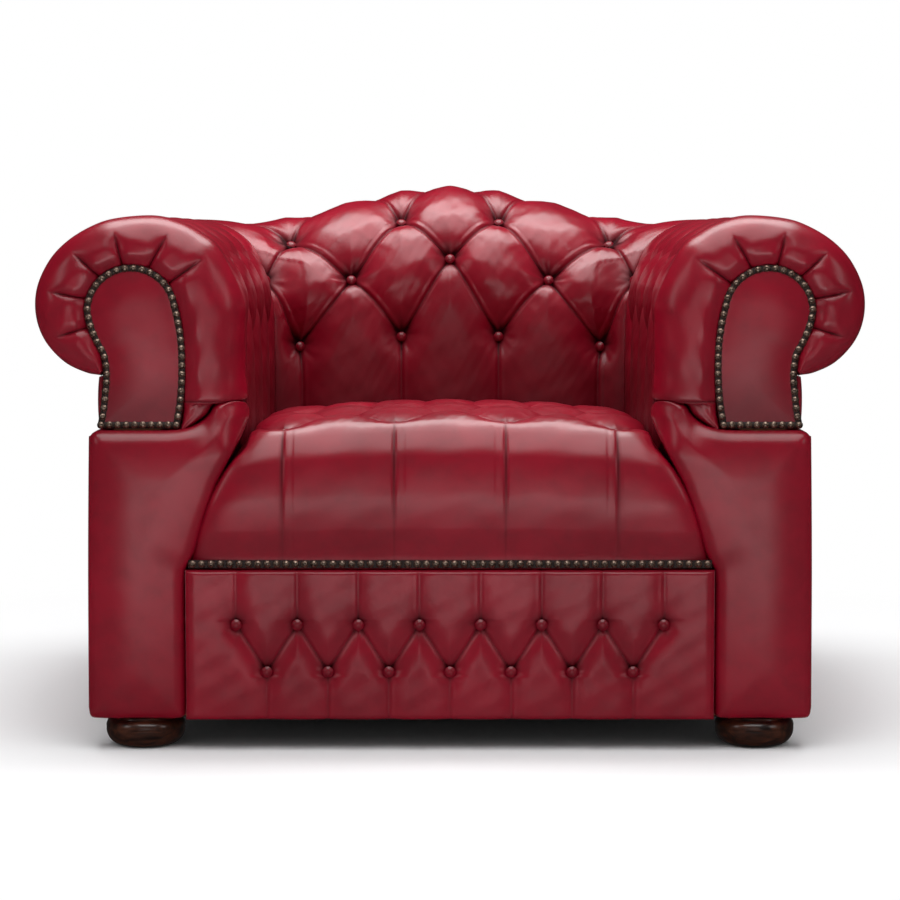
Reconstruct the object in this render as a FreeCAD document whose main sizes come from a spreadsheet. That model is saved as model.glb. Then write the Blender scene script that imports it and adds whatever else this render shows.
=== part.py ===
import FreeCAD, Part
import math
import os

import Sketcher
from FreeCAD import Placement, Rotation, Vector

# Tufted leather armchair with scroll arms, in millimetres. The origin is on the floor under
# the middle of the seat, the front faces -Y and +Z is up. Arms and back share one section,
# given as s, the distance out from the middle of the seat, and height.

doc = FreeCAD.newDocument("armchair")

# Driving dimensions

SIZES = {
    "foot_height": 40,
    "foot_width": 105,
    "front_plane": 460,
    "rear_offset": 90,
    "inside_half": 270,
    "shoulder_height": 575,
    "roll_axis": 587,
    "roll_top": 706,
    "roll_crown_reach": 404,
    "roll_reach": 550,
    "neck_reach": 457,
    "neck_height": 494,
    "tuck_height": 380,
    "cover_thickness": 34,
    "tuft_depth": 28,
    "column_pitch": 75,
    "crown_rise": 54,
    "corner_round": 34,
    "seat_height": 446,
    "seat_pitch": 73.5,
    "seat_tuft_depth": 22,
    "seat_rail_height": 236,
    "rail_bottom": 43.5,
    "rail_thickness": 30,
    "pad_inside": 350,
    "pad_outside": 479,
    "pad_top": 423,
    "pad_depth": 65,
    "pad_wall": 28,
    "pad_side_wall": 12.5,
    "panel_outside": 466,
    "panel_thickness": 8,
    "border_pitch": 40.3,
    "border_depth": 14,
    "frame_front": 431,
    "front_rail_half": 380,
    "rear_rail_half": 385,
    "rear_rail_front": 300,
    "side_rail_inside": 352,
    "side_rail_thickness": 28,
    "tack_rail_bottom": 330,
    "tack_rail_top": 372,
    "tack_rail_thickness": 29.5,
    "arm_frame_front": 394,
    "arm_board_front": 398.5,
    "arm_frame_end": 256,
    "board_inside": 346.5,
    "board_outside": 452,
    "board_bottom": 500.5,
    "board_thickness": 27.5,
    "upright_half": 18,
    "post_inside": 382,
    "post_outside": 444,
    "post_depth": 65,
    "rear_post_front": 292,
    "rear_post_depth": 68,
    "base_rail_inside": 445,
    "base_rail_top": 110,
    "foot_reach": 408,
    "foot_front": 396,
    "foot_rear": 320,
    "bolt_radius": 4,
    "bolt_hole_depth": 60,
    "nail_radius": 5,
    "button_radius": 7.5,
    "strip_half": 345,
    "strip_front": 445.2,
    "strip_thickness": 2,
    "strip_bottom": 242,
    "strip_top": 252.5,
    "hessian_half": 262,
    "hessian_height": 246,
    "hessian_thickness": 1.2,
    "cloth_thickness": 1.6,
    "cloth_half": 457,
    "cloth_rear": 367,
}

sheet = doc.addObject("Spreadsheet::Sheet", "sizes")
for row, (alias, value) in enumerate(SIZES.items(), start=1):
    sheet.set(f"A{row}", alias.replace("_", " "))
    sheet.set(f"B{row}", str(value))
    sheet.setAlias(f"B{row}", alias)
doc.recompute()


def size(alias):
    return float(sheet.get(alias))


pieces = []


def keep(piece, label):
    """Gives a finished sub-part the name that its file gets."""
    piece.Label = label
    pieces.append(piece)
    return piece


def keep_shape(label, shape):
    """Keeps a shape worked out from the sheet as a sub-part."""
    piece = doc.addObject("Part::Feature", label)
    piece.Shape = shape
    return keep(piece, label)


def keep_pair(label, shape):
    """Keeps the right-hand shape (+X) and its mirror image on the left."""
    keep_shape(label + "_right", shape)
    keep_shape(label + "_left", shape.mirror(Vector(0, 0, 0), Vector(1, 0, 0)))


def bound_box(label, low, high, hidden=False):
    """A box whose corners are expressions on the sheet."""
    box = doc.addObject("Part::Box", label)
    for name, first, last in zip(("Length", "Width", "Height"), low, high):
        box.setExpression(name, f"({last}) - ({first})")
    for axis, first in zip("xyz", low):
        box.setExpression(f"Placement.Base.{axis}", first)
    return box if hidden else keep(box, label)


def wire_through(corners, vias):
    """A closed wire: from each corner to the next, a line, or an arc through the via point."""
    edges = []
    for number, start in enumerate(corners):
        end = corners[(number + 1) % len(corners)]
        if vias[number] is None:
            edges.append(Part.makeLine(start, end))
        else:
            edges.append(Part.Arc(start, vias[number], end).toShape())
    return Part.Wire(edges)


def between(knots, at):
    """Straight-line value between (position, value) knots."""
    for (left, low), (right, high) in zip(knots, knots[1:]):
        if at <= right:
            return low + (high - low) * (at - left) / (right - left)
    return knots[-1][1]


def bell(distance, width):
    """1 in the middle, falling to 0 at the width."""
    if abs(distance) >= width:
        return 0.0
    return (1 + math.cos(math.pi * distance / width)) / 2


# The section of arms and back

def roll_section(turn):
    """Point and outward normal (s, z) of the section: turn 0 to 1 goes up the inside face,
    1 to 2 over the shoulder, 2 to 3 over the roll and 3 to 4 under it to the neck."""
    if turn <= 1:
        tuck, shoulder = size("tuck_height"), size("shoulder_height")
        return (size("inside_half"), tuck + (shoulder - tuck) * turn), (-1.0, 0.0)
    crown, axis, top = size("roll_crown_reach"), size("roll_axis"), size("roll_top")
    reach, neck = size("roll_reach"), size("neck_reach")
    if turn <= 2:
        centre = crown, size("shoulder_height")
        radii = crown - size("inside_half"), top - size("shoulder_height")
    elif turn <= 3:
        centre = crown, axis
        radii = reach - crown, top - axis
    else:
        centre = neck, axis
        radii = reach - neck, axis - size("neck_height")
    angle = math.pi * (1 - (turn - 1) / 2)
    wide, high = math.cos(angle), math.sin(angle)
    point = centre[0] + radii[0] * wide, centre[1] + radii[1] * high
    normal = wide / radii[0], high / radii[1]
    length = math.hypot(*normal)
    return point, (normal[0] / length, normal[1] / length)


# Tuft rows along the section: 0 the tuck behind the seat, 1 to 4 the rows of buttons, 5 and 6
# the outer half of the roll.
ROW_TURN = ((0, 0.0), (1, 0.651), (2, 1.182), (3, 1.60), (4, 2.45), (5, 3.2), (6, 4.0))
LAST_ROW = 6
CROWN_SHARE = ((0.0, 0.0), (0.651, 0.37), (1.182, 0.70), (1.60, 0.80), (2.0, 1.0), (4.0, 1.0))
CROWN_WIDTH = ((0.0, 280), (0.651, 280), (1.182, 200), (1.60, 285), (2.0, 330), (4.0, 330))


def crown(x, turn):
    """How far the back's section rises at x."""
    return size("crown_rise") * between(CROWN_SHARE, turn) * bell(x, between(CROWN_WIDTH, turn))


def tuft_share(column, row):
    """Depth of the tufting from 0 on a puff to 1 under a button. Buttons sit where column and
    row are odd together or even together, rows 1 to 4, with folds on the diagonals."""
    nearest = round(column)
    offset = abs(column - nearest)
    if row < 1 or row > 4:
        fold_parity = 1 if row < 1 else 0
        on_fold = nearest % 2 == fold_parity and offset < 0.1
        fade = 1 if row < 1 else max(0, 1 - (row - 4) / 3)
        return (0.6 if on_fold else 0.2 if offset > 0.3 else 0.0) * fade
    if offset < 0.1:
        if row == int(row):
            return 1.0 if (nearest + row) % 2 == 0 else 0.0
        return 0.32
    return 0.25 if row == int(row) else 0.55


PUFF_BULGE = 2.5


def cover_wire(place, column, depth, flat=False):
    """The closed section of a tufted cover at one column: scalloped outside, plain inside.
    place(s, z, turn) gives the point in space."""
    thickness = size("cover_thickness")

    def outside(row, extra=0.0, sink=None):
        turn = between(ROW_TURN, row)
        (s, z), (across, up) = roll_section(turn)
        share = tuft_share(column, row) if sink is None else sink
        inset = (0.3 if flat else share) * depth - extra
        return place(s - across * inset, z - up * inset, turn)

    def inside(turn):
        (s, z), (across, up) = roll_section(turn)
        return place(s - across * thickness, z - up * thickness, turn)

    rows = [half / 2 for half in range(2 * LAST_ROW + 1)]
    corners = [outside(row) for row in rows]
    vias = []
    for low, high in zip(rows, rows[1:]):
        mean = (tuft_share(column, low) + tuft_share(column, high)) / 2
        vias.append(outside((low + high) / 2, PUFF_BULGE, mean))
    corners += [inside(turn) for turn in (4, 3, 2, 1, 0)]
    vias += [None, inside(3.5), inside(2.5), inside(1.5), None, None]
    return wire_through(corners, vias)


def solid_loft(wires, ruled=True):
    loft = Part.makeLoft(wires, True, ruled)
    if loft.Volume < 0:
        loft.reverse()
    return loft


# Columns of arms and back, fanned out towards the corner so that both meet on its diagonal

ARM_FRONT = -394.5
ARM_COLUMNS = [half / 2 for half in range(15)]
BACK_COLUMNS = (0, 0.5, 1, 1.5, 2, 2.5, 3, 3.5, 4)
ALL_BACK_COLUMNS = [-column for column in reversed(BACK_COLUMNS[1:])] + list(BACK_COLUMNS)
BACK_FAN = ((0, 0.0), (1, 0.02), (2, 0.12), (3, 0.35), (3.5, 0.62), (4, 1.0))
ARM_FAN_REACH = 3.5
CORNER_GAP = 0.25


def corner_rounded(s, fan):
    """Draws the outer half of the roll in towards the corner, by the share of the fan."""
    crown_reach = size("roll_crown_reach")
    over = max(0, s - crown_reach) / (size("roll_reach") - crown_reach)
    return s - size("corner_round") * fan**2 * over**2


def arm_place(column, gap):
    """An arm's column: straight across in front, along the diagonal in the corner."""
    inside = size("inside_half")
    fan = max(0, 1 - column / ARM_FAN_REACH) ** 2
    start = inside - size("rear_offset") - size("column_pitch") * column - gap

    def place(s, z, turn):
        s = corner_rounded(s, fan)
        return Vector(s, start + fan * (s - inside), z)
    return place


def arm_front_place(s, z, turn):
    return Vector(s, ARM_FRONT, z)


def back_place(column):
    """A column of the back, counted out from the middle, 4 being the corner's diagonal."""
    inside, at = size("inside_half"), abs(column)
    fan = between(BACK_FAN, at)
    start = between(((3, 3 * size("column_pitch")), (4, inside)), at)
    if at < 3:
        start = size("column_pitch") * at
    if at == 4:
        start -= CORNER_GAP

    def place(s, z, turn):
        s = corner_rounded(s, fan)
        x = math.copysign(start + fan * (s - inside), column)
        return Vector(x, s - size("rear_offset"), z + crown(x, turn))
    return place


def arm_cover():
    wires = [cover_wire(arm_place(column, CORNER_GAP if column == 0 else 0), column,
                        size("tuft_depth")) for column in ARM_COLUMNS]
    wires.append(cover_wire(arm_front_place, 7.7, size("tuft_depth"), flat=True))
    return solid_loft(wires)


def back_cover():
    return solid_loft([cover_wire(back_place(column), column, size("tuft_depth"))
                       for column in ALL_BACK_COLUMNS])


keep_pair("inside_arm_cover", arm_cover())
keep_shape("inside_back_cover", back_cover())


# Stuffing under the covers

STUFFING_GAP = 0.5
STUFFING_BACK = 345.0


def stuffing_wire(place):
    """Solid section inside the cover: a slab behind the inside face, and the whole roll above
    the board that carries it."""
    inset = size("cover_thickness") + STUFFING_GAP

    def inside(turn):
        (s, z), (across, up) = roll_section(turn)
        return place(s - across * inset, z - up * inset, turn)

    floor = size("board_bottom") + size("board_thickness") + STUFFING_GAP
    corners = [inside(turn) for turn in (0, 1, 2, 3, 4)]
    corners += [place(size("neck_reach") - 10, floor, 0), place(STUFFING_BACK, floor, 0),
                place(STUFFING_BACK, size("tuck_height"), 0)]
    vias = [None, inside(1.5), inside(2.5), inside(3.5), None, None, None, None]
    return wire_through(corners, vias)


def arm_stuffing():
    wires = [stuffing_wire(arm_place(column, CORNER_GAP if column == 0 else 0))
             for column in ARM_COLUMNS if column <= ARM_FAN_REACH]
    return solid_loft(wires + [stuffing_wire(arm_front_place)])


def back_stuffing():
    return solid_loft([stuffing_wire(back_place(column)) for column in ALL_BACK_COLUMNS])


keep_pair("arm_stuffing", arm_stuffing())
keep_shape("back_stuffing", back_stuffing())


# Pleated band round the front of each arm. Each station runs from the facing to the outside
# of the roll, and on the inside face from the base pad to the side of the seat.

FACING_CENTRE = 419, 579
FACING_ROUND = 65.6
BAND_BACK = -395.0
BAND_EDGE = -427.0
BAND_CREST = -438.0
BAND_SHOULDER = -412.0


def round_facing(degrees):
    angle = math.radians(degrees)
    return (FACING_CENTRE[0] + FACING_ROUND * math.cos(angle),
            FACING_CENTRE[1] + FACING_ROUND * math.sin(angle))


def on_roll(turn):
    return roll_section(turn)[0]


# Facing side, outer side, and whether a pleat lies there
BAND_STATIONS = (
    ((349.3, 262), (343.5, 262), False),
    ((349.3, 303), (334.0, 303), False),
    ((349.3, 356), (315.0, 356), False),
    ((349.3, 412), (288.5, 409), False),
    ((349.5, 445), (274.0, 441), False),
    ((344.5, 505), (270.0, 500), False),
    ((345.5, 555), (270.0, 560), False),
    (round_facing(170), on_roll(1.12), False),
    (round_facing(143), on_roll(1.46), True),
    (round_facing(127), on_roll(1.62), False),
    (round_facing(112), on_roll(1.78), True),
    (round_facing(97), on_roll(1.95), False),
    (round_facing(80), on_roll(2.18), True),
    (round_facing(64), on_roll(2.34), False),
    (round_facing(48), on_roll(2.51), True),
    (round_facing(32), on_roll(2.68), False),
    (round_facing(16), on_roll(2.88), True),
    (round_facing(0), on_roll(3.10), False),
    ((481.5, 558), on_roll(3.34), True),
    ((474.5, 540), on_roll(3.60), False),
    ((467.0, 522), on_roll(3.82), False),
    ((462.5, 510), on_roll(3.95), False),
)


PLEAT_SINK = 9.0
PLEAT_DRAW_IN = 0.09
BAND_DRAW_IN = 0.02


def band_wire(facing, outer, folded):
    """D-shaped section of the band, set back along a pleat."""
    sink = PLEAT_SINK if folded else 0.0
    draw_in = PLEAT_DRAW_IN if folded else BAND_DRAW_IN

    def at(share, y):
        share *= 1 - draw_in
        return Vector(facing[0] + (outer[0] - facing[0]) * share, y,
                      facing[1] + (outer[1] - facing[1]) * share)

    crest = BAND_CREST + sink
    corners = [at(0, BAND_EDGE), at(0.5, crest), at(1, BAND_SHOULDER + sink / 2),
               at(1, BAND_BACK), at(0, BAND_BACK)]
    vias = [at(0.22, (2 * crest + BAND_EDGE) / 3 - 0.5), at(0.85, crest + 7), None, None, None]
    return wire_through(corners, vias)


keep_pair("arm_front_band", solid_loft([band_wire(*station) for station in BAND_STATIONS], False))


# Facing of each arm: a leather-covered panel edged with nails, on a board

FACING_MARGIN = 6.0
FACING_FRONT = -433.0
FACING_THICKNESS = 12.0
FACING_DOME = 1.5
BOARD_INSET = 9.0
BOARD_FRONT = FACING_FRONT + FACING_THICKNESS + 0.5
BOARD_DEPTH = 21.5
TAB_WIDTH = 62.0
TAB_RISE = 17.0


def facing_outline(y):
    """The closed line of the nails, keyhole shaped, at a given y."""
    corners = [(360.4, 430), (352.8, 513), (362, 586), (419, 636.3), (476.3, 579),
               (455.5, 525), (453.5, 473.5), (459.9, 430)]
    vias = [(353.9, 475), (354.9, 550), (378.5, 619.5), (459.5, 619.5), (470.0, 554),
            (451.8, 500), (456.0, 450), None]
    return wire_through([Vector(s, y, z) for s, z in corners],
                        [via and Vector(via[0], y, via[1]) for via in vias])


def outline_face(wire, offset):
    """A face bounded by the wire moved outwards by offset."""
    return Part.Face(wire.makeOffset2D(offset))


def facing_panel():
    """A slab with a slightly raised middle where the padding lies."""
    rim = facing_outline(FACING_FRONT + FACING_DOME)
    depth = FACING_THICKNESS - FACING_DOME
    slab = outline_face(rim, FACING_MARGIN).extrude(Vector(0, depth, 0))
    raised = outline_face(facing_outline(FACING_FRONT), -FACING_MARGIN)
    return slab.fuse(raised.extrude(Vector(0, FACING_THICKNESS, 0)))


def facing_board():
    """The board behind the panel, with a tab below that stands on the front post."""
    face = outline_face(facing_outline(BOARD_FRONT), FACING_MARGIN - BOARD_INSET)
    board = face.extrude(Vector(0, BOARD_DEPTH, 0))
    corner = Vector(size("post_inside"), BOARD_FRONT, size("pad_top"))
    return board.fuse(Part.makeBox(TAB_WIDTH, BOARD_DEPTH, TAB_RISE, corner))


keep_pair("arm_facing_panel", facing_panel())
keep_pair("arm_facing_board", facing_board())


# Brass-headed nails: a domed head on a short shank

NAIL_HEIGHT = 3.2
FACING_NAIL_PITCH = 11.2
FACING_FOOT_NAILS = 8
TOWARDS_FRONT = Vector(0, -1, 0)


def domed(radius, foot, rise, place, normal):
    """A spherical cap of the given rise on a conical foot, or on a flat back when the foot is
    0. Its lowest point lies at the place and its top faces along the normal."""
    ball = (radius**2 + rise**2) / (2 * rise)
    half = math.asin(radius / ball) / 2
    via = Vector(ball * math.sin(half), 0, foot + rise - ball * (1 - math.cos(half)))
    corners = [Vector(0, 0, 0), Vector(radius, 0, foot), Vector(0, 0, foot + rise)]
    profile = Part.Face(wire_through(corners, [None, via, None]))
    shape = profile.revolve(Vector(0, 0, 0), Vector(0, 0, 1), 360)
    shape.Placement = Placement(place, Rotation(Vector(0, 0, 1), normal))
    return shape


def nail_head(point):
    return domed(size("nail_radius"), 0, NAIL_HEIGHT, point, TOWARDS_FRONT)


def facing_nails():
    """Nails along the facing's outline: one run round the sides and top, one along the foot."""
    line = facing_outline(FACING_FRONT + FACING_DOME - 0.1)
    side = Part.Wire(line.Edges[:-1])
    points = side.discretize(Number=round(side.Length / FACING_NAIL_PITCH) + 1)
    points += line.Edges[-1].discretize(Number=FACING_FOOT_NAILS + 2)[1:-1]
    return Part.makeCompound([nail_head(point) for point in points])


keep_pair("arm_facing_nails", facing_nails())

# Tufted seat: columns across it, rows running up the front face and back over the top

SEAT_LAST_ROW = 7
SEAT_REAR = 179.0
SEAT_SIDE = 266.5
SEAT_EDGE_COLUMN = 3.63
SEAT_FIRST_ROW_Y = -395.0
SEAT_ROW_STEP = 90.0
SEAT_FALL = 17.0
SEAT_FALL_POWER = 2.2
SEAT_FOOT = 240.0
SEAT_PLEAT_SINK = 7.0
SEAT_NOSE_LIFT = 2.0
SEAT_REAR_EDGE = 162.0
SEAT_COLUMNS = (-3.35, -3, -2.5, -2, -1.5, -1, -0.5, 0, 0.5, 1, 1.5, 2, 2.5, 3, 3.35)
SEAT_FRONT = ((-443, 240), (-443, 257), (-456, 300), (-458, 345), (-449, 395), (-421, 430))
SEAT_INSIDE = ((-380, 410), (-425, 385), (-416, 330), (-416, 240))


def seat_fall(x):
    """How much lower the seat is at its sides than in the middle."""
    return SEAT_FALL * (abs(x) / SEAT_SIDE) ** SEAT_FALL_POWER


def seat_top(y):
    """Height of the top along the middle, sloping down towards the back."""
    return size("seat_height") - between(((-400, 2), (-290, -1), (-60, 5), (180, 20)), y)


def seat_share(column, row):
    """Depth share of the seat's tufts: buttons where column and row are odd or even together."""
    nearest = round(column)
    offset = abs(column - nearest)
    if abs(column) > 3.1:
        return 0.25
    if offset < 0.1:
        if row == int(row):
            return 1.0 if (nearest + row) % 2 == 0 and row <= SEAT_LAST_ROW else 0.0
        return 0.32
    return 0.25 if row == int(row) else 0.55


def seat_wire(column, x, fall_extra=0.0, flat=False):
    depth = size("seat_tuft_depth")
    fall = seat_fall(x) + fall_extra
    folded = not flat and column == int(column) and column % 2 == 1
    front_sink = SEAT_PLEAT_SINK if folded else 0.0 if column == int(column) else 1.5

    def front(y, z):
        kept = 1 - fall / (size("seat_height") - SEAT_FOOT)
        lowered = SEAT_FOOT + (z - SEAT_FOOT) * kept
        sunk = front_sink if z > 270 else 0
        return Vector(x, y + sunk, lowered)

    def top(row, lift=0.0, share=None):
        y = min(SEAT_FIRST_ROW_Y + SEAT_ROW_STEP * (row - 1), SEAT_REAR_EDGE)
        share = seat_share(column, row) if share is None else share
        share = 0.3 if flat else share
        return Vector(x, y, seat_top(y) - fall - share * depth + lift)

    rows = [1 + half / 2 for half in range(2 * SEAT_LAST_ROW)]
    corners = [front(y, z) for y, z in SEAT_FRONT] + [top(row) for row in rows]
    vias = [None]
    for (low_y, low_z), (high_y, high_z) in zip(SEAT_FRONT[1:], SEAT_FRONT[2:]):
        vias.append(front((low_y + high_y) / 2 - 2, (low_z + high_z) / 2 + 1))
    nose = (corners[len(SEAT_FRONT) - 1] + corners[len(SEAT_FRONT)]) * 0.5
    vias.append(nose + Vector(0, 0, SEAT_NOSE_LIFT))
    for low, high in zip(rows, rows[1:]):
        mean = (seat_share(column, low) + seat_share(column, high)) / 2
        vias.append(top((low + high) / 2, PUFF_BULGE, mean))
    corners.append(Vector(x, SEAT_REAR, seat_top(SEAT_REAR) - fall - size("cover_thickness")))
    vias.append(None)
    corners += [Vector(x, y, z - (fall if z > 300 else 0)) for y, z in SEAT_INSIDE]
    vias += [None, None, None, None, None]
    return wire_through(corners, vias)


# Reach across and height of the top of the seat's front corner
FLARE_STATIONS = ((SEAT_SIDE, 425), (286, 400), (309, 354), (327, 301), (341, 258))
FLARE_FOOT = SEAT_FOOT + 0.5
FLARE_FRONT = -442.5
FLARE_SHOULDER = -425.0
FLARE_REAR = -396.5
FLARE_SWELL = 12.0
FLARE_STRAIGHT = 15.5


def seat_flare(side):
    """The front corner of the seat, which spreads in front of the arm."""
    wires = []
    for x, top in FLARE_STATIONS:
        reach = min(1, (top - SEAT_FOOT) / 90)
        front, rear = FLARE_FRONT - 0.5 - FLARE_SWELL * reach, FLARE_REAR
        low = FLARE_FOOT + min(FLARE_STRAIGHT, (top - FLARE_FOOT) * 0.6)
        corners = [Vector(side * x, rear, FLARE_FOOT), Vector(side * x, FLARE_FRONT, FLARE_FOOT),
                   Vector(side * x, FLARE_FRONT, low),
                   Vector(side * x, FLARE_SHOULDER, top - 3), Vector(side * x, rear, top)]
        vias = [None, None, Vector(side * x, front, (low + top) / 2), None, None]
        wires.append(wire_through(corners, vias))
    return solid_loft(wires)


def seat_cover():
    pitch = size("seat_pitch")
    wires = [seat_wire(-SEAT_EDGE_COLUMN, -SEAT_SIDE, 6, flat=True)]
    wires += [seat_wire(column, column * pitch) for column in SEAT_COLUMNS]
    wires.append(seat_wire(SEAT_EDGE_COLUMN, SEAT_SIDE, 6, flat=True))
    return solid_loft(wires).fuse([seat_flare(1), seat_flare(-1)])


keep_shape("seat_cover", seat_cover())


# Tufted border under the seat: buttons in two rows, with folds between them

BORDER_FRONT = -455.0
BORDER_BACK = -431.5
BORDER_HALF = 349.0
BORDER_ROWS = (40.5, 72, 104.4, 136, 167, 204, 239.5)
BORDER_LAST_COLUMN = 8


def border_share(column, row):
    """Depth share: the lower buttons (row 2) in even columns, the upper ones (row 4) in odd."""
    nearest = round(column)
    offset = abs(column - nearest)
    if row in (0, 6):
        return 0.7
    if offset > 0.1:
        return (0.3, 0.3, 0.3, 0.55, 0.3, 0.3, 0.3)[row]
    if nearest % 2 == 0:
        return (0.7, 0.6, 1.0, 0.32, 0.0, 0.0, 0.3)[row]
    return (0.3, 0.0, 0.0, 0.32, 1.0, 0.6, 0.7)[row]


def border_wire(x, column):
    depth = size("border_depth")

    def outside(share, z, bulge=0.0):
        return Vector(x, BORDER_FRONT + depth * share - bulge, z)

    shares = [border_share(column, row) for row in range(len(BORDER_ROWS))]
    if abs(column) > BORDER_LAST_COLUMN:
        shares = [0.8] * len(BORDER_ROWS)
    corners = [outside(share, z) for share, z in zip(shares, BORDER_ROWS)]
    vias = [outside((share + share_above) / 2, (z + z_above) / 2, 1.5)
            for share, share_above, z, z_above
            in zip(shares, shares[1:], BORDER_ROWS, BORDER_ROWS[1:])]
    corners += [Vector(x, BORDER_BACK, BORDER_ROWS[-1]), Vector(x, BORDER_BACK, BORDER_ROWS[0])]
    return wire_through(corners, vias + [None, None, None])


def front_border():
    pitch = size("border_pitch")
    columns = [half / 2 for half in range(-2 * BORDER_LAST_COLUMN, 2 * BORDER_LAST_COLUMN + 1)]
    wires = [border_wire(-BORDER_HALF, -9)]
    wires += [border_wire(column * pitch, column) for column in columns]
    wires.append(border_wire(BORDER_HALF, 9))
    return solid_loft(wires)


keep_shape("front_border", front_border())


# Base pads at the front of each arm

def sketch_on(body, label, role, offset):
    """A sketch on one of the body's own origin planes, moved along its normal."""
    sketch = body.newObject("Sketcher::SketchObject", label)
    plane = next(item for item in body.Origin.OriginFeatures if item.Role == role)
    sketch.AttachmentSupport = [(plane, "")]
    sketch.MapMode = "FlatFace"
    sketch.setExpression("AttachmentOffset.Base.z", offset)
    return sketch


def sketch_rectangle(sketch, sides):
    """A rectangle whose left, bottom, right and top are expressions on the sheet."""
    corners = [Vector(1, 1, 0), Vector(9, 1, 0), Vector(9, 9, 0), Vector(1, 9, 0)]
    for start, end in zip(corners, corners[1:] + corners[:1]):
        sketch.addGeometry(Part.LineSegment(start, end), False)
    for line in range(4):
        sketch.addConstraint(Sketcher.Constraint("Coincident", line, 2, (line + 1) % 4, 1))
    for line, kind in enumerate(("Horizontal", "Vertical", "Horizontal", "Vertical")):
        sketch.addConstraint(Sketcher.Constraint(kind, line))
    places = (("DistanceX", 0), ("DistanceY", 0), ("DistanceX", 2), ("DistanceY", 2))
    for (kind, line), expression in zip(places, sides):
        index = sketch.addConstraint(Sketcher.Constraint(kind, -1, 1, line, 1, 5.0))
        sketch.setExpression(f"Constraints[{index}]", expression)


PAD_ROUNDING = 12.0


def base_pad():
    """A padded block rounded on its front edges, hollow behind where it wraps the post."""
    body = doc.addObject("PartDesign::Body", "base_front_pad_right")
    outline = sketch_on(body, "pad_outline", "XZ_Plane", "sizes.front_plane - sizes.pad_depth")
    sketch_rectangle(outline, ("sizes.pad_inside", "sizes.foot_height",
                               "sizes.pad_outside", "sizes.pad_top"))
    pad = body.newObject("PartDesign::Pad", "pad_block")
    pad.Profile = outline
    pad.setExpression("Length", "sizes.pad_depth")
    doc.recompute()
    front = -size("front_plane")
    edges = [f"Edge{number}" for number, edge in enumerate(pad.Shape.Edges, start=1)
             if edge.BoundBox.YMax < front + 1 or
             (edge.BoundBox.XMin > size("pad_outside") - 1 and edge.BoundBox.YLength > 1)]
    fillet = body.newObject("PartDesign::Fillet", "pad_rounding")
    fillet.Base = (pad, edges)
    fillet.Radius = PAD_ROUNDING
    inside = sketch_on(body, "pad_inside_outline", "XZ_Plane",
                       "sizes.front_plane - sizes.pad_depth")
    sketch_rectangle(inside, ("sizes.pad_inside - 5", "sizes.foot_height - 5",
                              "sizes.pad_outside - sizes.pad_side_wall",
                              "sizes.pad_top + 5"))
    hollow = body.newObject("PartDesign::Pocket", "pad_hollow")
    hollow.Profile = inside
    hollow.setExpression("Length", "sizes.pad_depth - sizes.pad_wall")
    hollow.Reversed = True
    doc.recompute()
    body.Tip = hollow
    keep(body, "base_front_pad_right")
    mirror = doc.addObject("Part::Mirroring", "base_front_pad_left")
    mirror.Source = body
    mirror.Normal = Vector(1, 0, 0)
    keep(mirror, "base_front_pad_left")


base_pad()


# Outside panels of arms and back

OUTSIDE_PANEL_TOP = "sizes.neck_height - 5"
PANEL_FRONT = "-(sizes.front_plane - sizes.pad_depth) + 0.5"
PANEL_REAR = "sizes.panel_outside - sizes.rear_offset"


def mirrored_box(label, low, high):
    """The same box on the right and on the left."""
    bound_box(label + "_right", low, high)
    bound_box(label + "_left", (f"-({high[0]})", low[1], low[2]),
              (f"-({low[0]})", high[1], high[2]))


mirrored_box("outside_arm_cover",
             ("sizes.panel_outside - sizes.panel_thickness", PANEL_FRONT, "sizes.foot_height"),
             ("sizes.panel_outside", PANEL_REAR, OUTSIDE_PANEL_TOP))


def outside_back():
    """A flat panel whose top follows the rise of the back."""
    half = size("panel_outside") - size("panel_thickness") - 0.3
    rear = size("panel_outside") - size("rear_offset")
    top = size("neck_height") - 5
    steps = (-1, -0.75, -0.5, -0.25, 0, 0.25, 0.5, 0.75, 1)
    corners = [Vector(step * half, rear, top + crown(step * half, 4)) for step in reversed(steps)]
    corners += [Vector(-half, rear, size("foot_height")), Vector(half, rear, size("foot_height"))]
    return Part.Face(wire_through(corners, [None] * len(corners))).extrude(
        Vector(0, -size("panel_thickness"), 0))


keep_shape("outside_back_cover", outside_back())


# Beech frame

RAIL_TOP = "sizes.seat_rail_height"
RAIL_BOTTOM = "sizes.rail_bottom"
BOARD_BOTTOM = "sizes.board_bottom"
BOARD_TOP = "sizes.board_bottom + sizes.board_thickness"
BOARD_REAR = "sizes.neck_reach - 5 - sizes.rear_offset"
FRAME_FRONT = "-sizes.frame_front"
RAIL_REAR = "-sizes.frame_front + sizes.rail_thickness"
REAR_RAIL_FRONT = "sizes.rear_rail_front"
ARM_FRAME_END = "sizes.arm_frame_end"

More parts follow.
